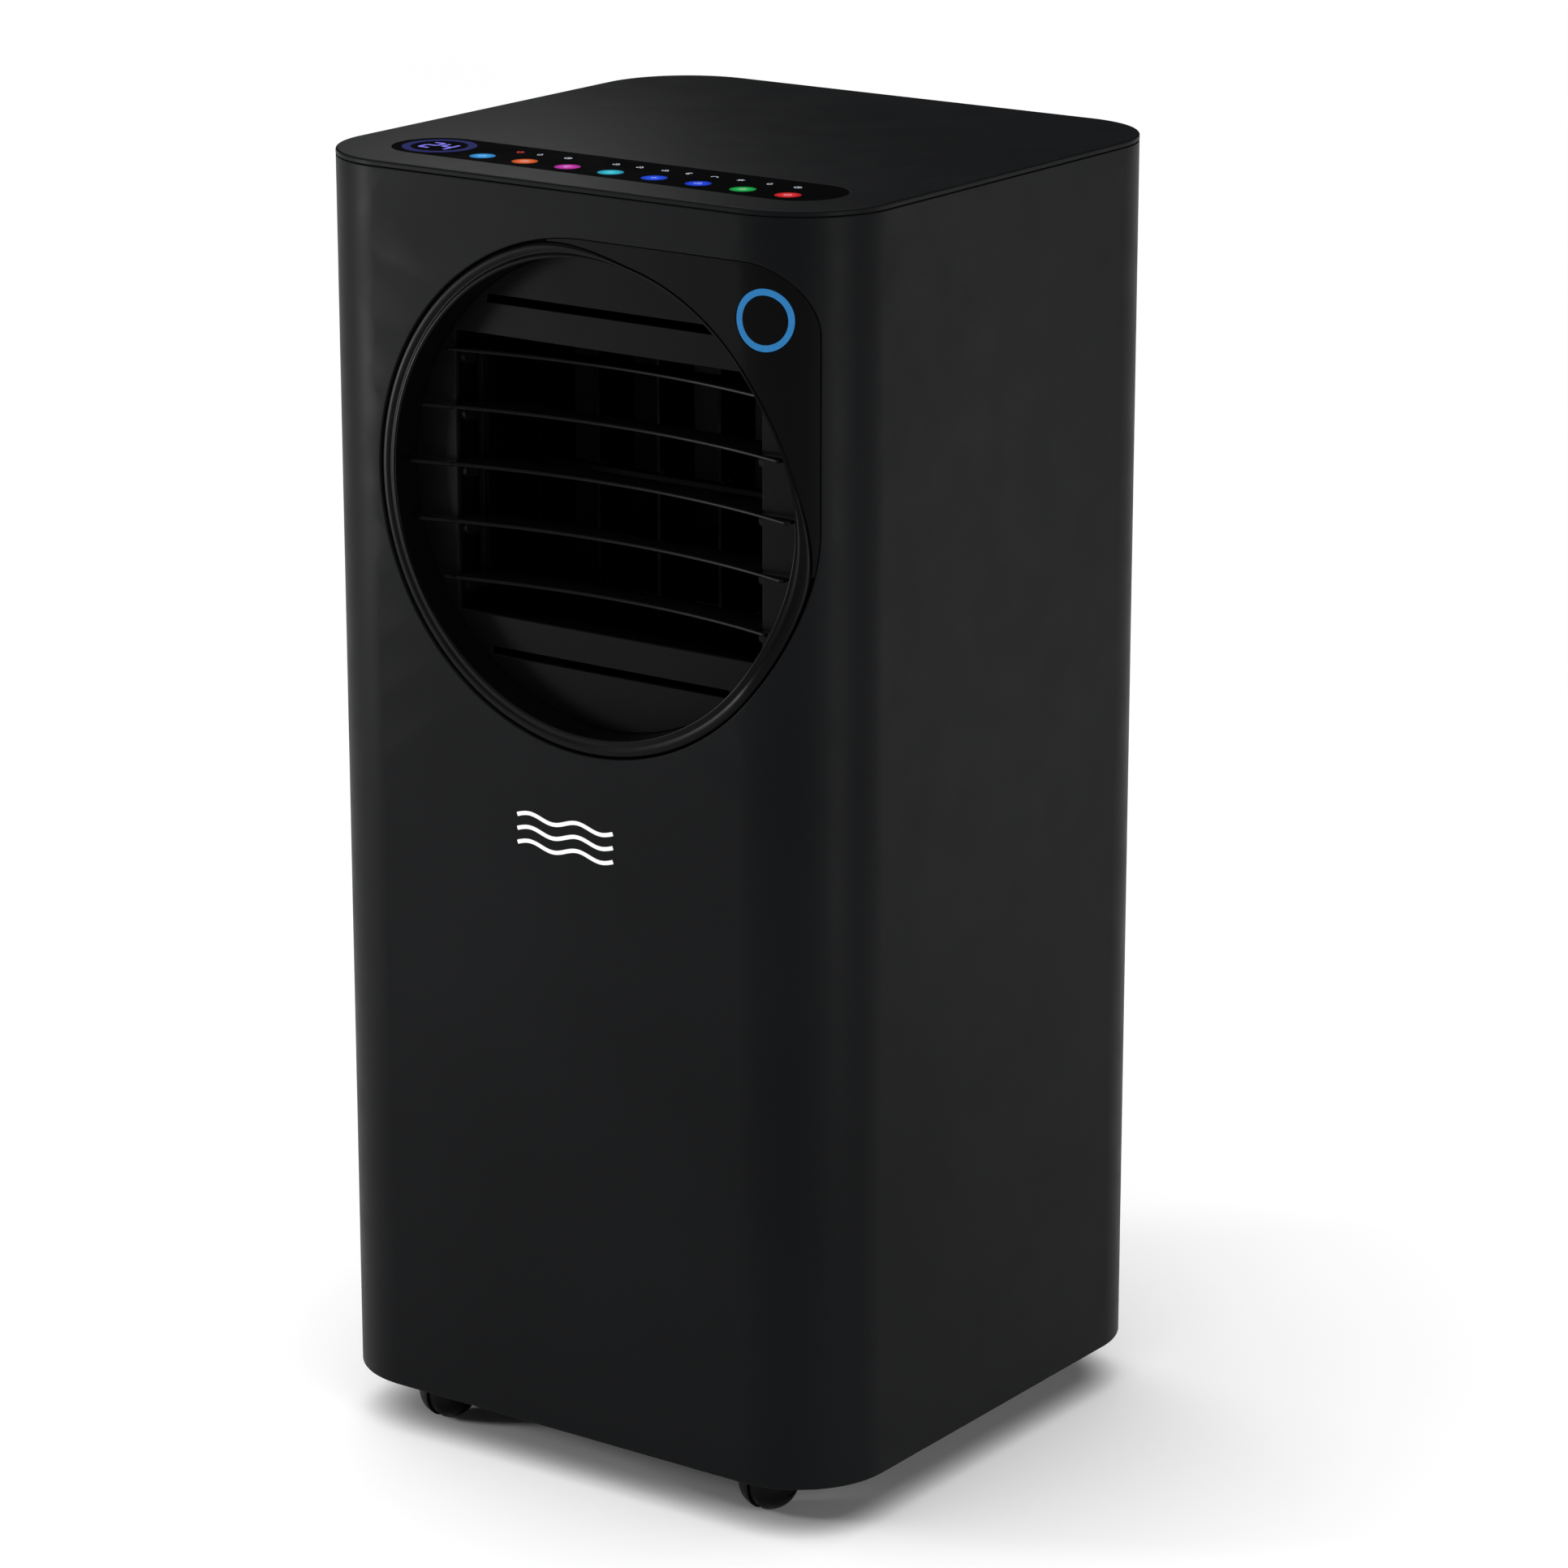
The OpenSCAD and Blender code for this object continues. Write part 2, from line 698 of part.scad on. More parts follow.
// Squirrel-cage blower wheel with its axis along y, open at the back
module blower_wheel(r, y0, y1, x, z, blades, shaft_r) {
    long = y1 - y0;
    translate([x, y1, z]) rotate([90, 0, 0]) {
        difference() {
            union() {
                cylinder(r = r, h = 3);
                translate([0, 0, long - 3]) cylinder(r = r, h = 3);
                translate([0, 0, long - 22]) cylinder(r = 12, h = 22);
            }
            translate([0, 0, -1]) cylinder(r = r - 14, h = 5);
            translate([0, 0, long - 23]) cylinder(r = shaft_r + run_gap, h = 24);
        }
        for (k = [0 : blades - 1]) rotate(k * 360 / blades)
            translate([r - 13, -0.7, 1]) cube([12, 1.4, long - 2]);
    }
}

module upper_wheel() {
    color([0.2, 0.2, 0.2]) blower_wheel(upper_wheel_r, scroll_front + scroll_wall + 8,
        scroll_back - scroll_wall - 8, outlet_x, upper_wheel_z, 28, 4);
}

// Motor ahead of its scroll, with its shaft running back into the wheel
module blower_motor(r, length, front_y, shaft_len, x, z) {
    color([0.55, 0.56, 0.58]) {
        rod_y(r, front_y - length, front_y - 3, x, z);
        rod_y(r + 5, front_y - 3, front_y, x, z);
        rod_y(r * 0.45, front_y - length - 4, front_y - length, x, z);
        rod_y(4, front_y, front_y + shaft_len, x, z);
    }
}

module upper_motor() {
    blower_motor(upper_motor_r - 5, 56, scroll_front, scroll_wall + 30, outlet_x, upper_wheel_z);
}

// Finned coil across the body, with end plates and return bends
module coil(z0, z1, rows) {
    y0 = coil_back - coil_t;
    end = coil_half - 16;
    step = (z1 - z0) / rows;
    color([0.72, 0.74, 0.76]) block([-end, y0, z0], [end, coil_back, z1]);
    color([0.8, 0.5, 0.35]) for (side = [-1, 1], k = [0 : rows - 1])
        translate([side * end, y0 + coil_t / 2, z0 + (k + 0.5) * step]) scale([side, 1, 1])
            rotate([90, 0, 0]) rotate([0, 0, -90]) rotate_extrude(angle = 180, $fn = 48)
                translate([step / 4, 0]) circle(step / 9, $fn = 24);
}

module evaporator_coil() coil(tray_bottom + 8, evaporator_top, 9);
module condenser_coil() coil(condenser_bottom, condenser_top, 4);

module drip_tray() {
    y0 = coil_back - coil_t - 5;
    y1 = coil_back + 5;
    color([0.1, 0.1, 0.1]) difference() {
        union() {
            difference() {
                block([-coil_half, y0, tray_bottom], [coil_half, y1, tray_bottom + 24]);
                block([-coil_half + 2, y0 + 2, tray_bottom + 2],
                      [coil_half - 2, y1 - 2, tray_bottom + 25]);
            }
            rod_y(drain_r + 2.5, y1 - 3, half_d - 3, upper_drain[0], upper_drain[1]);
        }
        rod_y(drain_r, y1 - 4, half_d, upper_drain[0], upper_drain[1]);
    }
}

// ---------- lower air path ----------

module lower_scroll() {
    w = scroll_wall;
    half = lower_scroll_r;
    color([0.75, 0.75, 0.73]) difference() {
        along_y(lower_front, scroll_back) volute_outline(lower_scroll_r, exhaust_x, lower_wheel_z,
            exhaust_x - half, exhaust_x + half, throat_top);
        along_y(lower_front + w, scroll_back - w) volute_outline(lower_scroll_r - w, exhaust_x,
            lower_wheel_z, exhaust_x - half + w, exhaust_x + half - w, throat_top - w);
        rod_y(8, lower_front - 1, lower_front + w + 1, exhaust_x, lower_wheel_z);
        rod_y(lower_intake_r, scroll_back - w - 1, scroll_back + 1, exhaust_x, lower_wheel_z);
        rod_y(exhaust_r, scroll_back - w - 1, scroll_back + 1, exhaust_x, exhaust_z);
    }
}

module lower_wheel() {
    color([0.2, 0.2, 0.2]) blower_wheel(lower_wheel_r, lower_front + scroll_wall + 6,
        scroll_back - scroll_wall - 6, exhaust_x, lower_wheel_z, 24, 4);
}

module lower_motor() {
    blower_motor(lower_motor_r - 5, 50, lower_front, scroll_wall + 28, exhaust_x, lower_wheel_z);
}

module exhaust_collar() {
    color([0.12, 0.12, 0.12]) difference() {
        rod_y(exhaust_r + collar_wall, scroll_back, half_d, exhaust_x, exhaust_z);
        rod_y(exhaust_r, scroll_back - 1, half_d + 1, exhaust_x, exhaust_z);
    }
}

// ---------- refrigerant circuit ----------

pipe_x = compressor_x - 8;
suction_y = 22;
liquid_x = pipe_x - 16;
liquid_y = 50;
compressor_z = pan_floor + grommet_h;
tank_r = 16;
tank_turn = -30;
tank_reach = compressor_r + tank_r + 6;
tank_place = [compressor_x + tank_reach * cos(tank_turn),
              compressor_y + tank_reach * sin(tank_turn), 0];

module compressor_feet() {
    for (turn = [90 : 120 : 330])
        translate([compressor_x + compressor_foot_r * cos(turn),
                   compressor_y + compressor_foot_r * sin(turn), 0]) children();
}

module compressor_grommets() {
    color([0.05, 0.05, 0.05]) compressor_feet() difference() {
        rod_z(8, pan_floor, compressor_z, 0, 0);
        rod_z(3 + run_gap, pan_floor - 1, compressor_z + 1, 0, 0);
    }
}

// Upright rotary compressor with its suction tank strapped alongside
module compressor() {
    dome_z = compressor_z + 150;
    color([0.07, 0.07, 0.08]) translate([compressor_x, compressor_y, 0]) {
        difference() {
            rod_z(compressor_foot_r + 8, compressor_z, compressor_z + 3, 0, 0);
            translate([-compressor_x, -compressor_y, 0])
                compressor_feet() rod_z(3.4, compressor_z - 1, compressor_z + 9, 0, 0);
        }
        rod_z(compressor_r - 4, compressor_z, dome_z, 0, 0);
        rod_z(compressor_r, compressor_z + 12, dome_z, 0, 0);
        translate([0, 0, dome_z]) intersection() {
            sphere(compressor_r);
            rod_z(compressor_r, 0, 24, 0, 0);
        }
        rotate(tank_turn) {
            rod_z(tank_r, compressor_z + 20, compressor_z + 120, tank_reach, 0);
            rod_z(6, compressor_z + 120, compressor_z + 132, tank_reach, 0);
            for (z = [36, 96])
                block([0, -4, compressor_z + z], [tank_reach, 4, compressor_z + z + 8]);
        }
    }
}

module refrigerant_pipes() {
    tank_top = tank_place + [0, 0, compressor_z + 132];
    over = compressor_z + 187;
    coil_front = coil_back - coil_t;
    left = -half_w + 22;
    color([0.8, 0.5, 0.35]) {
        // suction line, from the evaporator down to the tank
        tube_run([tank_top, [tank_top[0], tank_top[1], over], [pipe_x, suction_y, over],
                  [pipe_x, suction_y, deck_z + 60], [pipe_x, coil_front, deck_z + 60]], 5);
        // discharge line, from the compressor's dome to the condenser
        tube_run([[compressor_x - 10, compressor_y, compressor_z + 174],
                  [compressor_x - 10, compressor_y, over],
                  [left, compressor_y, over], [left, 34, compressor_z + 60],
                  [left + 31, coil_front - 12, compressor_z + 60],
                  [left + 31, coil_front, compressor_z + 60]], 4);
        // liquid line, from the condenser up to the evaporator
        tube_run([[liquid_x, coil_front, compressor_z + 92],
                  [liquid_x, liquid_y, compressor_z + 92],
                  [liquid_x, liquid_y, deck_z + 120], [liquid_x, coil_front, deck_z + 120]], 3);
    }
}

module electrical_box() {
    low = [-half_w + 20, scroll_back + 12, condenser_top + 12];
    high = [-half_w + 100, half_d - 26, condenser_top + 120];
    color([0.85, 0.85, 0.82]) difference() {
        block(low, high);
        block(low + [2, 2, 2], high + [-2, -2, 1]);
    }
}

module capacitor() {
    y1 = scroll_back + 12;
    color([0.8, 0.8, 0.82]) {
        rod_z(13, condenser_top + 20, condenser_top + 70, -half_w + 86, y1 - 16);
        block([-half_w + 80, y1 - 6, condenser_top + 30], [-half_w + 92, y1, condenser_top + 60]);
    }
}

splash_x = -half_w + 106;
splash_y = 38;
splash_z = pan_floor + 34;

module splash_motor() {
    color([0.55, 0.56, 0.58]) {
        rod_x(15, splash_x - 40, splash_x - 6, splash_y, splash_z);
        rod_x(2.5, splash_x - 6, splash_x + 12, splash_y, splash_z);
        block([splash_x - 32, splash_y - 10, pan_floor],
              [splash_x - 14, splash_y + 10, splash_z - 10]);
    }
}

module splash_wheel() {
    color([0.85, 0.85, 0.82]) difference() {
        union() {
            rod_x(22, splash_x, splash_x + 3, splash_y, splash_z);
            rod_x(7, splash_x - 4, splash_x + 10, splash_y, splash_z);
            for (k = [0 : 11]) translate([splash_x + 2, splash_y, splash_z])
                rotate([k * 30, 0, 0]) translate([0, 16, -0.8]) cube([6, 14, 1.6]);
        }
        rod_x(2.5 + run_gap, splash_x - 5, splash_x + 11, splash_y, splash_z);
    }
}

// ---------- rear pieces ----------

module intake_filter() {
    bars = 22;
    step = (filter_h - 16) / bars;
    color([0.12, 0.12, 0.12]) difference() {
        along_y(half_d - filter_t, half_d) filter_outline(0);
        along_y(half_d - filter_t + 1.5, half_d + 1) difference() {
            filter_outline(-8);
            for (k = [1 : bars - 1])
                translate([-filter_w / 2, filter_bottom + 8 + k * step - 1.6])
                    square([filter_w, 3.2]);
            translate([-1.5, filter_bottom]) square([3, filter_h]);
        }
        for (k = [1 : 2 : bars - 1], side = [-1, 1])
            block([side * filter_w / 4 - filter_w / 4 + 14, half_d - filter_t - 1,
                   filter_bottom + 8 + (k - 1) * step + 3],
                  [side * filter_w / 4 + filter_w / 4 - 14, half_d, filter_bottom + 8 + k * step - 3]);
        // finger notch at the top edge
        rod_y(11, half_d - filter_t + 2, half_d + 1, 0, filter_bottom + filter_h + 2);
    }
}

module drain_cap(place) {
    color([0.06, 0.06, 0.06]) {
        rod_y(drain_r - run_gap, half_d - 16, half_d - 2.8, place[0], place[1]);
        difference() {
            rod_y(drain_flange_r, half_d - 2.8, half_d, place[0], place[1]);
            for (side = [-1, 1]) block([place[0] - 6, half_d - 1.4, place[1] + side * 5 - 2],
                                       [place[0] + 6, half_d + 1, place[1] + side * 5 + 2]);
        }
    }
}

module upper_drain_cap() drain_cap(upper_drain);
module lower_drain_cap() drain_cap(lower_drain);

module cord_gland() {
    color([0.05, 0.05, 0.05]) difference() {
        union() {
            rod_y(9, half_d - 12, half_d, gland_x, gland_z);
            rod_y(13, half_d - wall - 3 - fit_gap, half_d - wall - fit_gap, gland_x, gland_z);
        }
        rod_y(3.6, half_d - 13, half_d + 1, gland_x, gland_z);
    }
}

module cover_screws() {
    color([0.3, 0.3, 0.3]) for (side = [-1, 1], z = screw_zs) difference() {
        union() {
            rod_y(3.5, half_d - 2.6, half_d - 0.4, side * screw_x, z);
            rod_y(1.9, half_d - 20, half_d - 2.6, side * screw_x, z);
        }
        block([side * screw_x - 2.4, half_d - 1.4, z - 0.5], [side * screw_x + 2.4, half_d, z + 0.5]);
        block([side * screw_x - 0.5, half_d - 1.4, z - 2.4], [side * screw_x + 0.5, half_d, z + 2.4]);
    }
}

// ---------- casters ----------

fork_t = 4;
axle_r = 2.5;

// Hooded fork with its stem; the wheel trails along +y of its own frame
module caster_fork() {
    hood_in = wheel_r + 0.8;
    hood_out = hood_in + 1.8;
    color([0.05, 0.05, 0.05]) {
        difference() {
            union() {
                rod_z(stem_r, wheel_r + 8, pan_bottom + 13, 0, 0);
                translate([0, trail, wheel_r]) intersection() {
                    sphere(hood_out);
                    block([-hood_out, -hood_out, 3], [hood_out, hood_out, hood_out]);
                }
                rod_z(stem_r + 3, wheel_r + 8, pan_bottom - 1, 0, 0);
            }
            translate([0, trail, wheel_r]) sphere(hood_in);
        }
        difference() {
            translate([-fork_t / 2, trail, wheel_r]) rotate([90, 0, 90])
                linear_extrude(fork_t) union() {
                    circle(wheel_r - 4);
                    translate([-(wheel_r - 5) / 2, 0]) square([wheel_r - 5, hood_in + 0.6]);
                }
            rod_x(axle_r + run_gap, -9, 9, trail, wheel_r);
        }
    }
}

// Two half-ball wheels on one axle
module caster_wheels() {
    inner = fork_t / 2 + 0.5;
    outer = wheel_r * 0.86;
    color([0.05, 0.05, 0.05]) translate([0, trail, wheel_r]) {
        for (side = [-1, 1]) rotate([0, side * 90, 0]) rotate_extrude() intersection() {
            circle(wheel_r);
            translate([0, inner]) square([wheel_r, outer - inner]);
        }
        rod_x(axle_r, -fork_t, fork_t, 0, 0);
    }
}

module at_caster(sx, sy) {
    translate([sx * caster_x, sy * caster_y, 0]) rotate(sy > 0 ? 0 : 180) children();
}

module caster_fork_fl() at_caster(-1, -1) caster_fork();
module caster_fork_fr() at_caster(1, -1) caster_fork();
module caster_fork_rl() at_caster(-1, 1) caster_fork();
module caster_fork_rr() at_caster(1, 1) caster_fork();
module caster_wheels_fl() at_caster(-1, -1) caster_wheels();
module caster_wheels_fr() at_caster(1, -1) caster_wheels();
module caster_wheels_rl() at_caster(-1, 1) caster_wheels();
module caster_wheels_rr() at_caster(1, 1) caster_wheels();

front_cover();
rear_cover();
top_cover();
base_pan();
side_frames();
divider_deck();
outlet_ring();
leaf_plate();
light_ring();
receiver_lens();
outlet_floor();
outlet_duct();
louver_blade_1();
louver_blade_2();
louver_blade_3();
louver_blade_4();
louver_blade_5();
louver_link();
louver_crank();
louver_motor();
vane_1();
vane_2();
vane_3();
vane_4();
vane_5();
vane_link();
touch_panel();
key_lenses();
control_board();
upper_scroll();
upper_wheel();
upper_motor();
evaporator_coil();
drip_tray();
lower_scroll();
lower_wheel();
lower_motor();
condenser_coil();
exhaust_collar();
compressor();
compressor_grommets();
refrigerant_pipes();
electrical_box();
capacitor();
splash_motor();
splash_wheel();
intake_filter();
upper_drain_cap();
lower_drain_cap();
cord_gland();
cover_screws();
caster_fork_fl();
caster_fork_fr();
caster_fork_rl();
caster_fork_rr();
caster_wheels_fl();
caster_wheels_fr();
caster_wheels_rl();
caster_wheels_rr();
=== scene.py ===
"""Portable air conditioner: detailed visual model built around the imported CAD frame."""
import json
import math

import bpy
import numpy as np
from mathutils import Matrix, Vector
from mathutils.geometry import delaunay_2d_cdt


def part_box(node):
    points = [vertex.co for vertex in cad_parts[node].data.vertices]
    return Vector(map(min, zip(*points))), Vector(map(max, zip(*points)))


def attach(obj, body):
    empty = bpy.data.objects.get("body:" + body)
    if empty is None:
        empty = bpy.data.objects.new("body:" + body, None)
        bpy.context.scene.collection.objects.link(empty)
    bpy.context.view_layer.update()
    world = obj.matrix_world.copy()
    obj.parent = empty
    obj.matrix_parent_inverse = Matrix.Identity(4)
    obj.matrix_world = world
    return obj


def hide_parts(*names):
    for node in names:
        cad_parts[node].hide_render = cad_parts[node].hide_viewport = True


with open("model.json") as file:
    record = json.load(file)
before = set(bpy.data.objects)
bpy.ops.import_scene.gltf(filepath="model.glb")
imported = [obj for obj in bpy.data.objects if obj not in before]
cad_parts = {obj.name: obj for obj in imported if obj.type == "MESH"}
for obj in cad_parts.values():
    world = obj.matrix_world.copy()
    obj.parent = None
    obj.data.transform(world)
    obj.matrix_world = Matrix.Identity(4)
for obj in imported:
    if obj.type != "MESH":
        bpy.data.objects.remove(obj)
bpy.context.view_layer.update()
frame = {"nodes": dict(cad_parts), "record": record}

MM = 0.001
scene = bpy.context.scene

# ---------------------------------------------------------------- sizes of the frame

front_low, front_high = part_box("front_cover")
top_low, top_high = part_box("top_cover")
HALF_W = top_high[0]
HALF_D = top_high[1]
TOP = top_high[2]
BOTTOM = front_low[2]
COVER_TOP = front_high[2]
SEAM_Y = front_high[1]
CORNER = 53 * MM
WALL = 3 * MM
GAP = 0.3 * MM

ring_low, ring_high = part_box("outlet_ring")
OUTLET_X = (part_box("outlet_floor")[0][0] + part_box("outlet_floor")[1][0]) / 2
OUTLET_Z = (ring_low[2] + ring_high[2]) / 2
OUTLET_R = 124 * MM
LIP_R = ring_high[2] - OUTLET_Z
LEAF_R = 134 * MM
LEAF_CORNER = 36 * MM
# Angle past the squared corner over which the leaf plate runs out to a point
LEAF_FADE = math.radians(16)
LIGHT_RING_R = 15.7 * MM
LIGHT_RING_W = 3.2 * MM
# Depth kept free in front of the cover's skin for the printed symbol
PRINT = 0.06 * MM
FLOOR_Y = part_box("outlet_floor")[0][1]
DUCT_LOW, DUCT_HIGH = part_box("outlet_duct")
DUCT_WALL = 2.5 * MM
OPEN_X0, OPEN_X1 = DUCT_LOW[0] + DUCT_WALL, DUCT_HIGH[0] - DUCT_WALL
OPEN_Z0, OPEN_Z1 = DUCT_LOW[2] + DUCT_WALL, DUCT_HIGH[2] - DUCT_WALL


# ---------------------------------------------------------------- camera

def look_along(obj, turn, dip):
    """Turns a camera to face +Y turned left by `turn` and dipped below the horizon by `dip`."""
    obj.rotation_euler = (math.pi / 2 - dip, 0, turn)


camera_data = bpy.data.cameras.new("camera")
camera = bpy.data.objects.new("camera", camera_data)
scene.collection.objects.link(camera)
scene.camera = camera
camera.location = (1.69973, -2.342145, 1.1956617)
look_along(camera, math.radians(35.52), math.radians(16.30))
camera_data.sensor_width = 36
camera_data.lens = 128.5

# The middle range that most noise values fall in
NOISE_LOW, NOISE_HIGH = 0.3, 0.7
DRIFT_SCALE, GLOSS_SCALE, BRUSH_SCALE, DIFFUSER_SCALE, WEAVE_SCALE = 7.0, 38.0, 60.0, 900.0, 240.0
GLOSS_SPREAD = 0.035
COAT_ROUGHNESS = 0.08
LAMP_SPECULAR = 0.012
LAMP_BASE = 0.05


# ---------------------------------------------------------------- node helpers

class Nodes:
    """A short way to write a material's node tree."""

    def __init__(self, name):
        self.material = bpy.data.materials.new(name)
        self.material.use_nodes = True
        self.tree = self.material.node_tree
        self.shader = self.tree.nodes["Principled BSDF"]

    def add(self, kind, **settings):
        node = self.tree.nodes.new(kind)
        for key, value in settings.items():
            if hasattr(node, key):
                setattr(node, key, value)
            else:
                node.inputs[key.replace("_", " ")].default_value = value
        return node

    def link(self, out, into):
        self.tree.links.new(out, into)

    def coords(self, kind="Object"):
        if not hasattr(self, "coordinate_node"):
            self.coordinate_node = self.add("ShaderNodeTexCoord")
        return self.coordinate_node.outputs[kind]

    def noise(self, scale, detail=2.0, stretch=None):
        node = self.add("ShaderNodeTexNoise", Scale=scale, Detail=detail)
        source = self.coords()
        if stretch:
            mapping = self.add("ShaderNodeMapping")
            mapping.inputs["Scale"].default_value = stretch
            self.link(source, mapping.inputs["Vector"])
            source = mapping.outputs["Vector"]
        self.link(source, node.inputs["Vector"])
        return node.outputs["Fac"]

    def ramp(self, fac, low, high, start=NOISE_LOW, end=NOISE_HIGH):
        node = self.add("ShaderNodeMapRange")
        node.inputs["From Min"].default_value = start
        node.inputs["From Max"].default_value = end
        node.inputs["To Min"].default_value = low
        node.inputs["To Max"].default_value = high
        self.link(fac, node.inputs["Value"])
        return node.outputs["Result"]

    def tint(self, fac, dark, light):
        node = self.add("ShaderNodeMix", data_type="RGBA")
        ends = {"A": dark, "B": light}
        for socket in node.inputs:
            if socket.type == "RGBA":
                socket.default_value = (*ends[socket.name], 1)
        self.link(fac, node.inputs["Factor"])
        return [s for s in node.outputs if s.type == "RGBA"][0]

    def bump(self, height, distance):
        node = self.add("ShaderNodeBump", Strength=1.0, Distance=distance)
        self.link(height, node.inputs["Height"])
        return node.outputs["Normal"]

    def set(self, **values):
        """Sets constant values on the shader's own sockets; underscores stand for spaces."""
        for name, value in values.items():
            self.shader.inputs[name.replace("_", " ")].default_value = value


def shaded(colour, factor):
    return tuple(channel * factor for channel in colour)


def moulded(name, colour, rough, grain_size=0.45, grain_depth=0.012, specular=0.3, spread=0.12,
            coat=0.0):
    """Moulded plastic: fine spark-eroded grain, slow shade drift and uneven gloss."""
    n = Nodes(name)
    drift = n.noise(DRIFT_SCALE, 3.0)
    n.link(n.tint(n.ramp(drift, 0, 1), shaded(colour, 1 - spread), shaded(colour, 1 + spread)),
           n.shader.inputs["Base Color"])
    gloss = n.noise(GLOSS_SCALE, 4.0)
    n.link(n.ramp(gloss, rough - GLOSS_SPREAD, rough + GLOSS_SPREAD), n.shader.inputs["Roughness"])
    fine = n.noise(1 / (grain_size * MM), 2.0)
    n.link(n.bump(fine, grain_depth * MM), n.shader.inputs["Normal"])
    n.set(Specular_IOR_Level=specular, Coat_Weight=coat, Coat_Roughness=COAT_ROUGHNESS)
    return n.material


def metal(name, colour, rough, stretch=(1, 1, 40), depth=0.004):
    """Bare or plated metal, brushed along the axis with the largest stretch."""
    n = Nodes(name)
    brushed = n.noise(BRUSH_SCALE, 3.0, stretch)
    n.link(n.tint(n.ramp(brushed, 0, 1), shaded(colour, 0.85), shaded(colour, 1.08)),
           n.shader.inputs["Base Color"])
    n.link(n.ramp(brushed, rough - 0.06, rough + 0.08), n.shader.inputs["Roughness"])
    n.link(n.bump(brushed, depth * MM), n.shader.inputs["Normal"])
    n.set(Metallic=1.0)
    return n.material


def glowing(name, colour, strength, edge=0.35):
    """A lit window with a faint unevenness of its diffuser."""
    n = Nodes(name)
    cells = n.noise(DIFFUSER_SCALE, 1.0)
    n.link(n.tint(n.ramp(cells, 0, 1), shaded(colour, 1 - edge), colour),
           n.shader.inputs["Emission Color"])
    n.set(Base_Color=(*shaded(colour, LAMP_BASE), 1), Emission_Strength=strength, Roughness=0.35,
          Specular_IOR_Level=LAMP_SPECULAR)
    return n.material


# Colour, roughness, grain size and depth (mm), specular level, shade spread
PLASTICS = {
    "charcoal_shell": ((0.0046, 0.0049, 0.0054), 0.42, 0.45, 0.012, 0.036),
    "outlet_black": ((0.0022, 0.0022, 0.0024), 0.38, 0.45, 0.012, 0.032),
    "outlet_ring": ((0.0014, 0.0014, 0.0016), 0.34, 0.6, 0.006, 0.05),
    "blade_black": ((0.0018, 0.0018, 0.0019), 0.36, 0.5, 0.008, 0.05),
    "floor_black": ((0.0030, 0.0030, 0.0032), 0.44, 0.45, 0.012, 0.03),
    "panel_gloss": ((0.0005, 0.0005, 0.0007), 0.14, 6.0, 0.002, 0.012, 0.3),
    "lens": ((0.0024, 0.0024, 0.0028), 0.2, 4.0, 0.002, 0.03, 0.2),
    "inner_black": ((0.0006, 0.0006, 0.0006), 0.55, 0.6, 0.012, 0.012),
    "scroll_plastic": ((0.045, 0.045, 0.044), 0.5, 0.9, 0.02, 0.3),
    "motor": ((0.09, 0.092, 0.095), 0.35, 0.5, 0.01, 0.5),
    "compressor_black": ((0.004, 0.004, 0.0045), 0.22, 1.2, 0.02, 0.5),
    "rubber": ((0.006, 0.006, 0.006), 0.62, 0.35, 0.02, 0.25),
    "caster_black": ((0.0016, 0.0016, 0.0016), 0.34, 0.8, 0.01, 0.07),
    "board": ((0.01, 0.08, 0.03), 0.35, 1.5, 0.02, 0.5),
    "box_white": ((0.5, 0.5, 0.47), 0.45, 0.6, 0.012, 0.4),
    "print_white": ((0.80, 0.80, 0.80), 0.4, 0.3, 0.004, 0.3, 0.03),
}
# Colour, roughness, stretch of the brushing, its depth (mm)
METALS = {
    "steel": ((0.30, 0.31, 0.32), 0.36),
    "coil": ((0.45, 0.47, 0.49), 0.34, (400, 1, 1), 0.2),
    "copper": ((0.62, 0.27, 0.14), 0.3),
    "capacitor_can": ((0.6, 0.6, 0.62), 0.28),
    "screw": ((0.03, 0.03, 0.03), 0.38, (1, 1, 1)),
}
# Colour, strength, unevenness
LAMPS = {
    "light_ring": ((0.034, 0.20, 0.47), 0.95, 0.12),
    "mark_white": ((0.62, 0.66, 0.75), 1.0, 0.1),
    "mark_soft": ((0.35, 0.38, 0.42), 1.0, 0.1),
    "mark_red": ((1.0, 0.08, 0.06), 1.0, 0.1),
    "display_indigo": ((0.008, 0.010, 0.10), 1.0, 0.3),
    "display_violet": ((0.22, 0.20, 0.85), 1.0, 0.1),
}
MATERIAL = {name: moulded(name, *look) for name, look in PLASTICS.items()}
MATERIAL |= {name: metal(name, *look) for name, look in METALS.items()}
MATERIAL |= {name: glowing(name, *look) for name, look in LAMPS.items()}
SLOT_OF = {row["node"]: row["material_slot"] for row in frame["record"]["subparts"]}
BEHAVIOUR = frame["record"]["behaviour"]
BODY_OF = {node: body for body, nodes in BEHAVIOUR["bodies"].items() for node in nodes}


# ---------------------------------------------------------------- mesh helpers

ROUND_STEPS = 4
BACK_ROUND = 0.2 * MM
SMOOTH_WITHIN = math.radians(38)
NO_NORMAL = (0, 0, 0)
MITRE_LIMIT = 1.6
# Free space kept between a panel's edges and the points added inside it
GRID_MARGIN = 1.2 * MM
# Small steps along and into a surface that give its directions
PROBE_ALONG, PROBE_IN = 1e-5, 1e-4
TINY = 1e-6


def middle_of(node):
    """Centre of a CAD node's box."""
    return tuple((a + b) / 2 for a, b in zip(*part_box(node)))


def span_of(node):
    """Width, depth and height of a CAD node's box."""
    return tuple(b - a for a, b in zip(*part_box(node)))


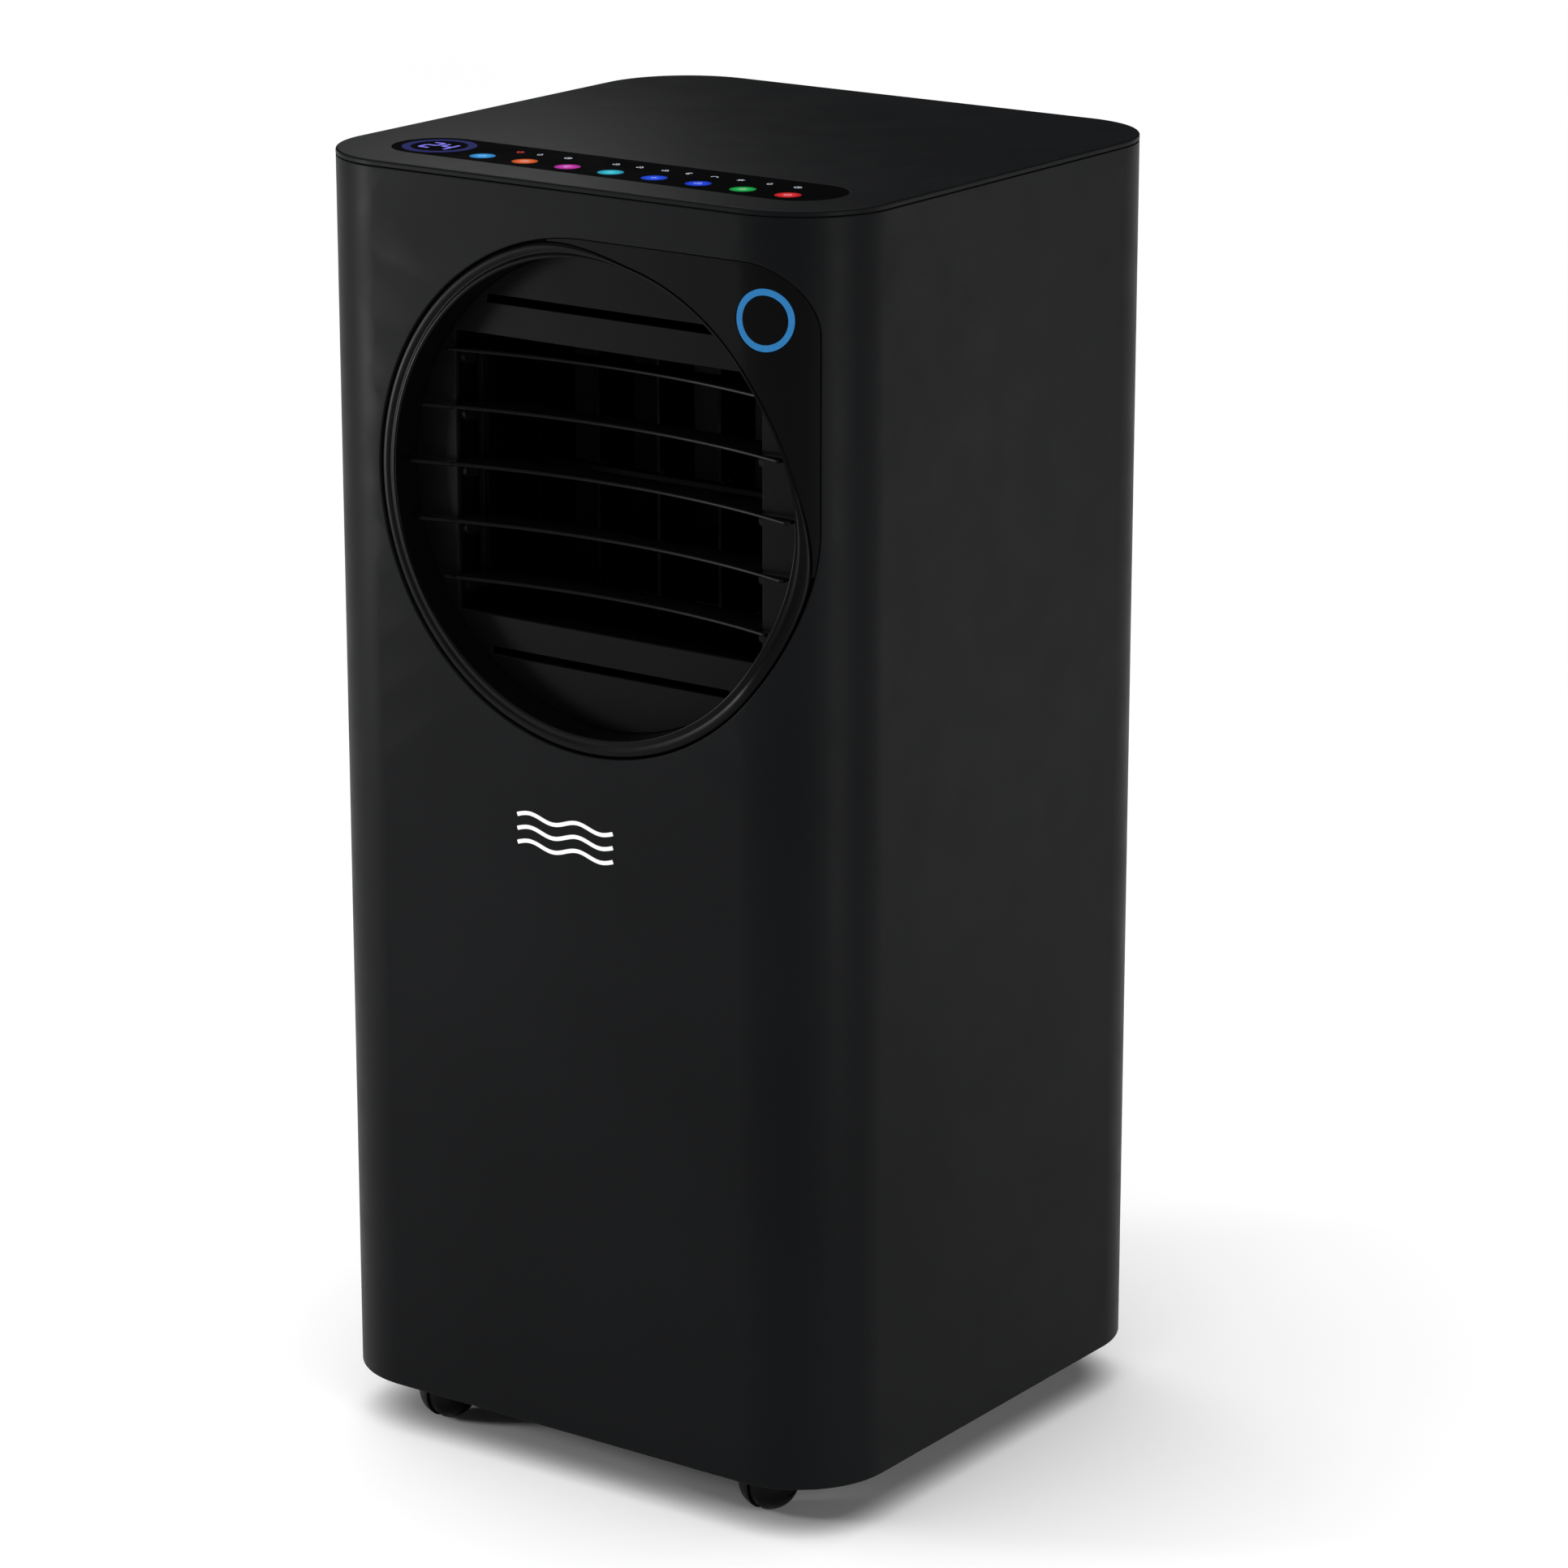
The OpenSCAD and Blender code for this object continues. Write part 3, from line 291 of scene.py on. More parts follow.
class Shape:
    """Collects points, faces and shading normals of one piece."""

    def __init__(self):
        self.points, self.faces, self.normals = [], [], []

    def add(self, points, faces, normals=None):
        start = len(self.points)
        self.points += [tuple(p) for p in points]
        self.faces += [tuple(start + i for i in face) for face in faces]
        self.normals += [tuple(n) for n in normals or [NO_NORMAL] * len(points)]

    def piece(self, name, node, material=None, replace=True):
        """Makes the mesh object on the node's body, in the node's place unless told otherwise."""
        mesh = bpy.data.meshes.new(name)
        mesh.from_pydata(self.points, [], self.faces)
        mesh.polygons.foreach_set("use_smooth", [True] * len(mesh.polygons))
        mesh.set_sharp_from_angle(angle=SMOOTH_WITHIN)
        if any(n != NO_NORMAL for n in self.normals):
            loops = []
            corner_normals = [tuple(c.vector) for c in mesh.corner_normals]
            for loop in mesh.loops:
                own = self.normals[loop.vertex_index]
                loops.append(own if own != NO_NORMAL else corner_normals[loop.index])
            mesh.normals_split_custom_set(loops)
        mesh.update()
        obj = bpy.data.objects.new(name, mesh)
        scene.collection.objects.link(obj)
        mesh.materials.append(MATERIAL[material or SLOT_OF[node]])
        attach(obj, BODY_OF[node])
        if replace:
            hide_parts(node)


def loop_normals(loop):
    """Unit normals to the left of a closed loop's direction, with their mitre lengths."""
    p = np.array(loop)
    ahead = np.roll(p, -1, 0) - p
    ahead /= np.linalg.norm(ahead, axis=1)[:, None]
    behind = np.roll(ahead, 1, 0)
    left = np.stack([-ahead[:, 1] - behind[:, 1], ahead[:, 0] + behind[:, 0]], 1)
    length = np.linalg.norm(left, axis=1)
    left /= length[:, None]
    return left, np.clip(2 / length, 1, MITRE_LIMIT)


def signed_area(loop):
    p = np.array(loop)
    q = np.roll(p, -1, 0)
    return 0.5 * np.sum(p[:, 0] * q[:, 1] - q[:, 0] * p[:, 1])


def inside(points, loop):
    """Even-odd test of many points against one closed loop."""
    p, q = np.array(loop), np.roll(np.array(loop), -1, 0)
    x, y = points[:, 0][:, None], points[:, 1][:, None]
    crosses = (p[:, 1] > y) != (q[:, 1] > y)
    with np.errstate(divide="ignore", invalid="ignore"):
        at = p[:, 0] + (y - p[:, 1]) * (q[:, 0] - p[:, 0]) / (q[:, 1] - p[:, 1])
    return (np.sum(crosses & (x < at), axis=1) % 2) == 1


def panel(shape, outline, holes, place, thick, rounds, back_round=BACK_ROUND, extra=()):
    """A plate with rounded edges. `place(u, v, d)` puts flat point (u, v) at depth d under its face.

    `rounds` is the edge radius at the face, one value or one for the outline and each hole.
    `extra` are points inside the plate that let it follow a curved surface.
    """
    loops = [list(outline)] + [list(h) for h in holes]
    if not isinstance(rounds, (list, tuple)):
        rounds = [rounds] * len(loops)
    if signed_area(loops[0]) < 0:
        loops[0].reverse()
    for loop in loops[1:]:
        if signed_area(loop) > 0:
            loop.reverse()
    faces_2d, starts, inner = [], [], []
    for loop, radius in zip(loops, rounds):
        left, mitre = loop_normals(loop)
        starts.append(len(faces_2d))
        moved = np.array(loop) + left * (radius * mitre)[:, None]
        inner.append(moved)
        faces_2d += [tuple(m) for m in moved]
    edges = []
    for start, loop in zip(starts, loops):
        count = len(loop)
        edges += [(start + i, start + (i + 1) % count) for i in range(count)]
    if len(extra):
        grid = np.array(extra)
        keep = inside(grid, inner[0])
        for hole in inner[1:]:
            keep &= ~inside(grid, hole)
        ring = np.concatenate(inner)
        clear = np.array([np.min(np.hypot(*(ring - g).T)) for g in grid]) > GRID_MARGIN
        faces_2d += [tuple(g) for g in grid[keep & clear]]
    made = delaunay_2d_cdt([Vector(p) for p in faces_2d], edges, [], 0, 1e-9)
    flat = np.array([tuple(v) for v in made[0]])
    source = {}
    for index, originals in enumerate(made[3]):
        for original in originals:
            source[original] = index
    triangles = np.array([tuple(f) for f in made[2]])
    middle = flat[triangles].mean(axis=1)
    keep = inside(middle, inner[0])
    for hole in inner[1:]:
        keep &= ~inside(middle, hole)
    triangles = triangles[keep]

    def direction(u, v, du, dv, d):
        a, b = Vector(place(u, v, d)), Vector(place(u + du * PROBE_ALONG, v + dv * PROBE_ALONG, d))
        return (b - a).normalized()

    def facing(u, v):
        return (Vector(place(u, v, 0)) - Vector(place(u, v, PROBE_IN))).normalized()

    points, normals, faces = [], [], []
    for u, v in flat:
        points.append(place(u, v, 0))
        normals.append(facing(u, v))
    for a, b, c in triangles:
        faces.append((a, b, c))
    back_start = len(points)
    for u, v in flat:
        points.append(place(u, v, thick))
        normals.append(-facing(u, v))
    for a, b, c in triangles:
        faces.append((back_start + a, back_start + c, back_start + b))
    for loop, start, radius in zip(loops, starts, rounds):
        left, mitre = loop_normals(loop)
        count = len(loop)
        rows = [[source[start + i] for i in range(count)]]
        profile = []
        for k in range(1, ROUND_STEPS + 1):
            angle = math.pi / 2 * k / ROUND_STEPS
            profile.append((radius * (1 - math.sin(angle)), radius * (1 - math.cos(angle)),
                            math.sin(angle), math.cos(angle)))
        for k in range(ROUND_STEPS):
            angle = math.pi / 2 * k / ROUND_STEPS
            profile.append((back_round * (1 - math.cos(angle)),
                            thick - back_round * (1 - math.sin(angle)),
                            math.cos(angle), -math.sin(angle)))
        for offset, depth, sideways, upward in profile:
            row = []
            for i in range(count):
                u = loop[i][0] + left[i][0] * offset * mitre[i]
                v = loop[i][1] + left[i][1] * offset * mitre[i]
                row.append(len(points))
                points.append(place(u, v, depth))
                out = direction(u, v, -left[i][0], -left[i][1], depth)
                normals.append((out * sideways + facing(u, v) * upward).normalized())
            rows.append(row)
        rows.append([back_start + source[start + i] for i in range(count)])
        for a, b in zip(rows, rows[1:]):
            for i in range(count):
                j = (i + 1) % count
                faces.append((a[j], a[i], b[i], b[j]))
    first = faces[0]
    p = [Vector(points[i]) for i in first[:3]]
    if (p[1] - p[0]).cross(p[2] - p[0]).dot(normals[first[0]]) < 0:
        faces = [tuple(reversed(f)) for f in faces]
    shape.add(points, faces, normals)


def loft(shape, rings, close_rings=False):
    """Quads between closed rings of equal length; the ends are capped unless the rings close."""
    count, points, faces = len(rings[0]), [], []
    for ring in rings:
        points += list(ring)
    pairs = list(zip(range(len(rings)), range(1, len(rings))))
    if close_rings:
        pairs.append((len(rings) - 1, 0))
    for a, b in pairs:
        for i in range(count):
            j = (i + 1) % count
            faces.append((a * count + i, a * count + j, b * count + j, b * count + i))
    if not close_rings:
        faces.append(tuple(reversed(range(count))))
        faces.append(tuple((len(rings) - 1) * count + i for i in range(count)))
    shape.add(points, faces)


def turned(shape, profile, centre, axis, sides=48):
    """A solid turned about an axis through `centre`; profile is (radius, distance along axis)."""
    axis = Vector(axis).normalized()
    side = axis.orthogonal().normalized()
    across = axis.cross(side)
    rings = []
    for radius, along in profile:
        radius = max(radius, TINY)
        rings.append([tuple(Vector(centre) + axis * along
                            + (side * math.cos(t) + across * math.sin(t)) * radius)
                      for t in (2 * math.pi * k / sides for k in range(sides))])
    loft(shape, rings)


def arc(cx, cy, r, start, end, steps):
    """Points along an arc, angles in degrees, both ends included."""
    turns = [math.radians(start + (end - start) * k / steps) for k in range(steps + 1)]
    return [(cx + r * math.cos(t), cy + r * math.sin(t)) for t in turns]


def circle(cx, cy, r, steps=96):
    return arc(cx, cy, r, 0, 360, steps)[:-1]


def rounded_box(cx, cy, w, h, r, steps=8):
    x, y = w / 2 - r, h / 2 - r
    return (arc(cx + x, cy + y, r, 0, 90, steps) + arc(cx - x, cy + y, r, 90, 180, steps)
            + arc(cx - x, cy - y, r, 180, 270, steps) + arc(cx + x, cy - y, r, 270, 360, steps))


def divided(points, longest):
    """Adds points along a closed loop so that no side is longer than `longest`."""
    out = []
    for a, b in zip(points, points[1:] + points[:1]):
        parts = max(1, math.ceil(math.dist(a, b) / longest))
        out += [(a[0] + (b[0] - a[0]) * k / parts, a[1] + (b[1] - a[1]) * k / parts)
                for k in range(parts)]
    return out


# ---------------------------------------------------------------- the body's wrapped surface

FLAT = HALF_W - CORNER
SIDE = 2 * (HALF_D - CORNER)
TURN = CORNER * math.pi / 2
SIDE_STEPS = 12
COVER_STEP = 5 * MM
FILTER_CORNER = 8 * MM
SCREW_R = 3.5 * MM


def wrap(u, z, depth, facing=-1):
    """Point at arc length u round the body from the middle of the front (facing -1) or rear (1)."""
    s, sign = abs(u), (1 if u >= 0 else -1)
    if s <= FLAT:
        x, y = s, -HALF_D + depth
    elif s <= FLAT + TURN:
        angle = (s - FLAT) / CORNER
        r = CORNER - depth
        x, y = FLAT + r * math.sin(angle), -(HALF_D - CORNER) - r * math.cos(angle)
    elif s <= FLAT + TURN + SIDE:
        x, y = HALF_W - depth, -(HALF_D - CORNER) + (s - FLAT - TURN)
    else:
        angle = (s - FLAT - TURN - SIDE) / CORNER
        r = CORNER - depth
        x, y = FLAT + r * math.cos(angle), HALF_D - CORNER + r * math.sin(angle)
    return (sign * x, y, z) if facing < 0 else (sign * x, -y, z)


def around(x):
    """Arc length of a point of the front face or its corners, from its x."""
    beyond = abs(x) - FLAT
    if beyond <= 0:
        return x
    return math.copysign(FLAT + CORNER * math.asin(min(1, beyond / CORNER)), x)


def wrapped(loop):
    return [(around(x), z) for x, z in loop]


def squared_corner(r, corner):
    """The outlet's outline from just above its right end, round the corner, to just before its top."""
    c = r - corner
    right = [(OUTLET_X + r, OUTLET_Z + c * k / SIDE_STEPS) for k in range(1, SIDE_STEPS)]
    top = [(OUTLET_X + c * (SIDE_STEPS - k) / SIDE_STEPS, OUTLET_Z + r) for k in range(1, SIDE_STEPS)]
    return right + arc(OUTLET_X + c, OUTLET_Z + c, corner, 0, 90, 2 * SIDE_STEPS) + top


def leaf(r, corner):
    """The outlet's outline: a circle with its upper right quarter squared to a rounded corner."""
    return arc(OUTLET_X, OUTLET_Z, r, 90, 360, 11 * SIDE_STEPS) + squared_corner(r, corner)


def corner_grid(z0, z1, u_from, u_to, rows=20, step=math.radians(3)):
    """Columns of points that let a wrapped panel follow the round corners."""
    columns = []
    for sign in (-1, 1):
        for start in (FLAT, FLAT + TURN + SIDE):
            columns += [sign * (start + CORNER * step * k) for k in range(int(math.pi / 2 / step) + 1)]
    columns = [u for u in columns if u_from < u < u_to]
    return [(u, z0 + (z1 - z0) * (r + 0.5 + 0.25 * (i % 2)) / rows)
            for i, u in enumerate(columns) for r in range(rows)]


# ---------------------------------------------------------------- covers

def cover_outline(reach):
    """A cover laid flat, reaching as far as `reach` round the body each way."""
    corners = [(-reach, BOTTOM), (reach, BOTTOM), (reach, COVER_TOP), (-reach, COVER_TOP)]
    return divided(corners, COVER_STEP)


def front_cover():
    reach = FLAT + TURN + SIDE + CORNER * math.asin((SEAM_Y - (HALF_D - CORNER)) / CORNER)
    shape = Shape()
    panel(shape, cover_outline(reach), [wrapped(leaf(LEAF_R, LEAF_CORNER))],
          lambda u, z, d: wrap(u, z, d + PRINT), WALL,
          [0.7 * MM, 0.6 * MM], extra=corner_grid(BOTTOM, COVER_TOP, -reach, reach))
    shape.piece("front_cover_shell", "front_cover")


def plate_share(angle):
    """How far the leaf plate covers the outlet's lip: 0 round the circle, 1 in the squared corner."""
    fade_over = 1.9 * LEAF_FADE
    angle = (angle + math.pi) % (2 * math.pi) - math.pi
    reach = min(angle + LEAF_FADE, math.pi / 2 + LEAF_FADE - angle) / fade_over
    reach = max(0.0, min(1.0, reach))
    return reach * reach * (3 - 2 * reach)


def lip_edge(angle):
    """Outer radius of the outlet's lip, measured anticlockwise from the right."""
    margin, least = 0.5 * MM, 1.7 * MM
    return LIP_R - margin - (LIP_R - OUTLET_R - least) * plate_share(angle)


def leaf_plate():
    sunk = 0.7 * MM

    def place(u, z, depth):
        return wrap(u, z, depth + sunk)

    lens_u, lens_z = lens_centre()
    hole = circle(lens_u, lens_z, LIGHT_RING_R + GAP / 2, 72)
    r = LEAF_R - GAP
    end = LEAF_FADE - math.radians(6)
    tail = math.degrees(end)
    outer = arc(OUTLET_X, OUTLET_Z, r, -tail, 0, 16) + squared_corner(r, LEAF_CORNER - GAP)
    outer += arc(OUTLET_X, OUTLET_Z, r, 90, 90 + tail, 16)
    inner, steps = [], 96
    for k in range(steps + 1):
        angle = math.pi / 2 + end - (math.pi / 2 + 2 * end) * k / steps
        edge = lip_edge(angle) + (0.25 + 0.8 * plate_share(angle)) * MM
        inner.append((OUTLET_X + edge * math.cos(angle), OUTLET_Z + edge * math.sin(angle)))
    shape = Shape()
    grid = corner_grid(OUTLET_Z - LEAF_R, OUTLET_Z + LEAF_R, 0, FLAT + TURN, 24)
    panel(shape, wrapped(outer + inner), [hole], place, 2.2 * MM, [0.2 * MM, 0.4 * MM],
          back_round=0.1 * MM, extra=grid)
    shape.piece("leaf_plate_moulding", "leaf_plate")


def lens_centre():
    x, _, z = middle_of("receiver_lens")
    return around(x), z


def receiver():
    lens_u, lens_z = lens_centre()
    hole = LIGHT_RING_R - LIGHT_RING_W
    ring_sunk, lens_sunk, thick = 0.55 * MM, 0.75 * MM, 2 * MM
    shape = Shape()
    panel(shape, circle(lens_u, lens_z, LIGHT_RING_R), [circle(lens_u, lens_z, hole)],
          lambda u, z, d: wrap(u, z, d + ring_sunk), thick, 0.5 * MM)
    shape.piece("light_ring_guide", "light_ring")
    shape = Shape()
    lens_r = hole - GAP / 2
    rings = [circle(lens_u, lens_z, lens_r * k / 5) for k in range(1, 5)]
    panel(shape, circle(lens_u, lens_z, lens_r), [],
          lambda u, z, d: wrap(u, z, d + lens_sunk), thick, 0.4 * MM,
          extra=[p for ring in rings for p in ring[::6]])
    shape.piece("receiver_window", "receiver_lens")


def outlet_ring():
    """Sleeve of the recess: a rounded lip that follows the body, and a straight wall to the floor."""
    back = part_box("outlet_floor")[1][1]
    steps = 288
    turns = [2 * math.pi * k / steps for k in range(steps)]

    def ring_at(radius_of, depth_of):
        ring = []
        for t in turns:
            r = radius_of(t)
            u = around(OUTLET_X + r * math.cos(t))
            ring.append(wrap(u, OUTLET_Z + r * math.sin(t), depth_of(t)))
        return ring

    rings = [ring_at(lambda t: LIP_R, lambda t: 3.3 * MM),
             ring_at(lambda t: LIP_R - 0.3 * MM, lambda t: 3.1 * MM)]
    # Outer groove, raised band, inner groove and the crest at the recess's edge:
    # share of the way out across the lip, and depth in mm
    for share, depth in ((1.0, 3.0), (1.0, 2.1), (0.985, 1.75), (0.93, 1.15), (0.85, 0.8),
                         (0.74, 0.62), (0.62, 0.62), (0.52, 0.8), (0.44, 1.05), (0.38, 1.15),
                         (0.32, 1.05), (0.26, 0.6), (0.2, 0.33), (0.13, 0.25), (0.07, 0.3),
                         (0.03, 0.5), (0.005, 0.9)):
        rings.append(ring_at(lambda t: OUTLET_R + (lip_edge(t) - OUTLET_R) * share,
                             lambda t: (depth + (0.9 - min(depth, 2)) * plate_share(t)) * MM))
    mouth = rings[-1]
    rim = [(OUTLET_X + OUTLET_R * math.cos(t), OUTLET_Z + OUTLET_R * math.sin(t)) for t in turns]
    for share in (0.02, 0.06, 0.2, 0.5, 0.85, 1.0):
        rings.append([(x, start[1] + (back - start[1]) * share, z)
                      for start, (x, z) in zip(mouth, rim)])
    rings.append([(OUTLET_X + LIP_R * math.cos(t), back, OUTLET_Z + LIP_R * math.sin(t))
                  for t in turns])
    shape = Shape()
    loft(shape, [ring[::-1] for ring in rings], close_rings=True)
    shape.piece("outlet_sleeve", "outlet_ring")


def outlet_floor():
    low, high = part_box("outlet_floor")
    radius = (high[0] - low[0]) / 2
    opening = divided([(OPEN_X0, OPEN_Z0), (OPEN_X1, OPEN_Z0), (OPEN_X1, OPEN_Z1), (OPEN_X0, OPEN_Z1)],
                      12 * MM)
    slot_away, slot_h, slot_margin = 19 * MM, 4.4 * MM, 3 * MM
    rise = (OPEN_Z1 - OPEN_Z0) / 2 + slot_away
    reach = math.sqrt(OUTLET_R ** 2 - (rise + slot_h / 2) ** 2) - slot_margin
    slots = [rounded_box(OUTLET_X, OUTLET_Z + side * rise, 2 * reach, slot_h, 0.6 * MM, 4)
             for side in (-1, 1)]
    shape = Shape()
    panel(shape, circle(OUTLET_X, OUTLET_Z, radius, 200), [opening] + slots,
          lambda x, z, d: (x, low[1] + d, z), high[1] - low[1],
          [0.4 * MM, 0.5 * MM, 0.3 * MM, 0.3 * MM])
    shape.piece("outlet_floor_plate", "outlet_floor", "floor_black")


def top_outline(inset):
    return rounded_box(0, 0, 2 * (HALF_W - inset), 2 * (HALF_D - inset), CORNER - inset, 30)


def pill(grow, steps=28):
    """Outline of the touch panel, grown all round."""
    low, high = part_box("touch_panel")
    r = (high[1] - low[1]) / 2
    cy = (low[1] + high[1]) / 2
    return (arc(high[0] - r, cy, r + grow, -90, 90, steps)
            + arc(low[0] + r, cy, r + grow, 90, 270, steps))


def top_cover():
    thick, rim_w, rim_h, overlap = 3 * MM, 2 * MM, 8 * MM, 0.1 * MM
    shape = Shape()
    panel(shape, top_outline(0), [pill(GAP / 2)], lambda x, y, d: (x, y, TOP - d), thick,
          [1.2 * MM, 0.3 * MM], back_round=0.5 * MM)
    panel(shape, top_outline(WALL + GAP), [top_outline(WALL + GAP + rim_w)],
          lambda x, y, d: (x, y, TOP - thick + overlap - d), rim_h, 0.1 * MM)
    shape.piece("top_cover_plate", "top_cover")


def rear_cover():
    """Rear shell with the filter's seat, the exhaust, drain, cord and screw holes, and the slots."""
    rear_low, rear_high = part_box("rear_cover")
    reach = FLAT + CORNER * math.acos((rear_low[1] - (HALF_D - CORNER)) / CORNER)
    width, _, height = span_of("intake_filter")
    filter_x, _, filter_z = middle_of("intake_filter")
    holes = [rounded_box(filter_x, filter_z, width + 2 * GAP, height + 2 * GAP, FILTER_CORNER + GAP)]
    rounds = [0.7 * MM, 0.6 * MM]

    def round_hole(x, z, radius, fillet=0.4 * MM, steps=64):
        holes.append(circle(x, z, radius, steps))
        rounds.append(fillet)

    for node, radius, fillet in (("exhaust_collar", span_of("exhaust_collar")[0] / 2 + GAP, 0.8 * MM),
                                 ("lower_drain_cap", 12 * MM, 0.4 * MM),
                                 ("upper_drain_cap", 12 * MM, 0.4 * MM),
                                 ("cord_gland", 9.3 * MM, 0.4 * MM)):
        x, _, z = middle_of(node)
        round_hole(x, z, radius, fillet)
    for x, z in screw_places():
        round_hole(x, z, SCREW_R + GAP, 0.3 * MM, 32)
    coil_low, coil_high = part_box("condenser_coil")
    slot_x, slot_w, slot_h, slot_pitch = 54 * MM, 96 * MM, 4 * MM, 8 * MM
    z = coil_low[2] + 14 * MM
    while z <= coil_high[2] - slot_pitch + TINY:
        for side in (-1, 1):
            holes.append(rounded_box(side * slot_x, z, slot_w, slot_h, 1.99 * MM, 6))
            rounds.append(0.5 * MM)
        z += slot_pitch
    shape = Shape()
    panel(shape, cover_outline(reach), holes, lambda u, z, d: wrap(u, z, d, 1), WALL, rounds,
          extra=corner_grid(BOTTOM, COVER_TOP, -reach, reach))
    seat_d, seat_t, seat_w, ledge, overlap = 9 * MM, 2.5 * MM, 2.5 * MM, 6 * MM, 0.2 * MM
    pocket = rear_high[1] - seat_d - WALL + overlap
    around_seat = rounded_box(0, filter_z, width + 2 * seat_w, height + 2 * seat_w, 10.5 * MM)
    panel(shape, list(around_seat),
          [rounded_box(0, filter_z, width + 2 * GAP, height + 2 * GAP, FILTER_CORNER + GAP)],
          lambda x, z, d: (x, pocket + seat_d - d, z), seat_d, 0.1 * MM)
    panel(shape, list(around_seat),
          [rounded_box(0, filter_z, width - 2 * ledge, height - 2 * ledge, 2 * MM)],
          lambda x, z, d: (x, pocket + seat_t - d, z), seat_t, 0.3 * MM)
    shape.piece("rear_cover_shell", "rear_cover")


def screw_places():
    low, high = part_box("cover_screws")
    filter_low, filter_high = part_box("intake_filter")
    rows = (low[2] + SCREW_R, filter_low[2] - 18 * MM, filter_high[2] + 14 * MM)
    return [(sign * (high[0] - SCREW_R), z) for sign in (-1, 1) for z in rows]


def intake_filter():
    """Barred grille with a rim behind it, a finger grip at the top and the mesh inside."""
    low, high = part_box("intake_filter")
    width, _, height = span_of("intake_filter")
    cx, _, cz = middle_of("intake_filter")
    bars, margin, bar_h, post_w = 22, 8 * MM, 4 * MM, 6 * MM
    step = (height - 2 * margin) / bars
    cell_w = width / 2 - margin - post_w / 2
    cells = [rounded_box(cx + side * (width / 4 - post_w / 2), low[2] + margin + (k + 0.5) * step,
                         cell_w, step - bar_h, 2 * MM, 5)
             for k in range(bars) for side in (-1, 1)]
    shape = Shape()
    panel(shape, rounded_box(cx, cz, width, height, FILTER_CORNER), cells,
          lambda x, z, d: (x, high[1] - d, z), 3 * MM, [0.8 * MM] + [0.7 * MM] * len(cells))
    rim_w, inner_corner = 5 * MM, 6 * MM
    panel(shape, rounded_box(cx, cz, width - 0.4 * MM, height - 0.4 * MM, FILTER_CORNER),
          [rounded_box(cx, cz, width - rim_w, height - rim_w, inner_corner)],
          lambda x, z, d: (x, high[1] - 2.9 * MM - d, z), 6 * MM, 0.2 * MM)
    grip_r = 11 * MM
    turned(shape, [(0, 0), (grip_r * 0.6, 0), (grip_r * 0.62, 0.6 * MM), (grip_r * 0.5, 1.0 * MM),
                   (0, 1.1 * MM)], (cx, high[1] - 1.2 * MM, high[2] - 4 * MM), (0, 1, 0), 32)
    shape.piece("intake_grille", "intake_filter")
    cloth, cloth_w = Shape(), rim_w + 0.4 * MM
    panel(cloth, rounded_box(cx, cz, width - cloth_w, height - cloth_w, inner_corner), [],
          lambda x, z, d: (x, high[1] - 6.5 * MM - d, z), 0.8 * MM, 0.1 * MM)
    cloth.piece("intake_filter_mesh", "intake_filter", "filter_mesh", replace=False)


def filter_mesh_material():
    """Woven nylon mesh: crossed fine threads as bump and shade."""
    n = Nodes("filter_mesh")
    waves = []
    for axis in ("X", "Z"):
        wave = n.add("ShaderNodeTexWave", bands_direction=axis)
        wave.inputs["Scale"].default_value = WEAVE_SCALE
        n.link(n.coords(), wave.inputs["Vector"])
        waves.append(wave.outputs["Fac"])
    weave = n.add("ShaderNodeMath", operation="MAXIMUM")
    n.link(waves[0], weave.inputs[0])
    n.link(waves[1], weave.inputs[1])
    n.link(n.tint(weave.outputs[0], (0.002, 0.002, 0.002), (0.02, 0.02, 0.021)),
           n.shader.inputs["Base Color"])
    n.link(n.bump(weave.outputs[0], 0.15 * MM), n.shader.inputs["Normal"])
    n.set(Roughness=0.6)
    return n.material


MATERIAL["filter_mesh"] = filter_mesh_material()


# ---------------------------------------------------------------- louvre blades

def joint_place(name):
    return Vector(next(j for j in BEHAVIOUR["joints"] if j["name"] == name)["pos_m"])


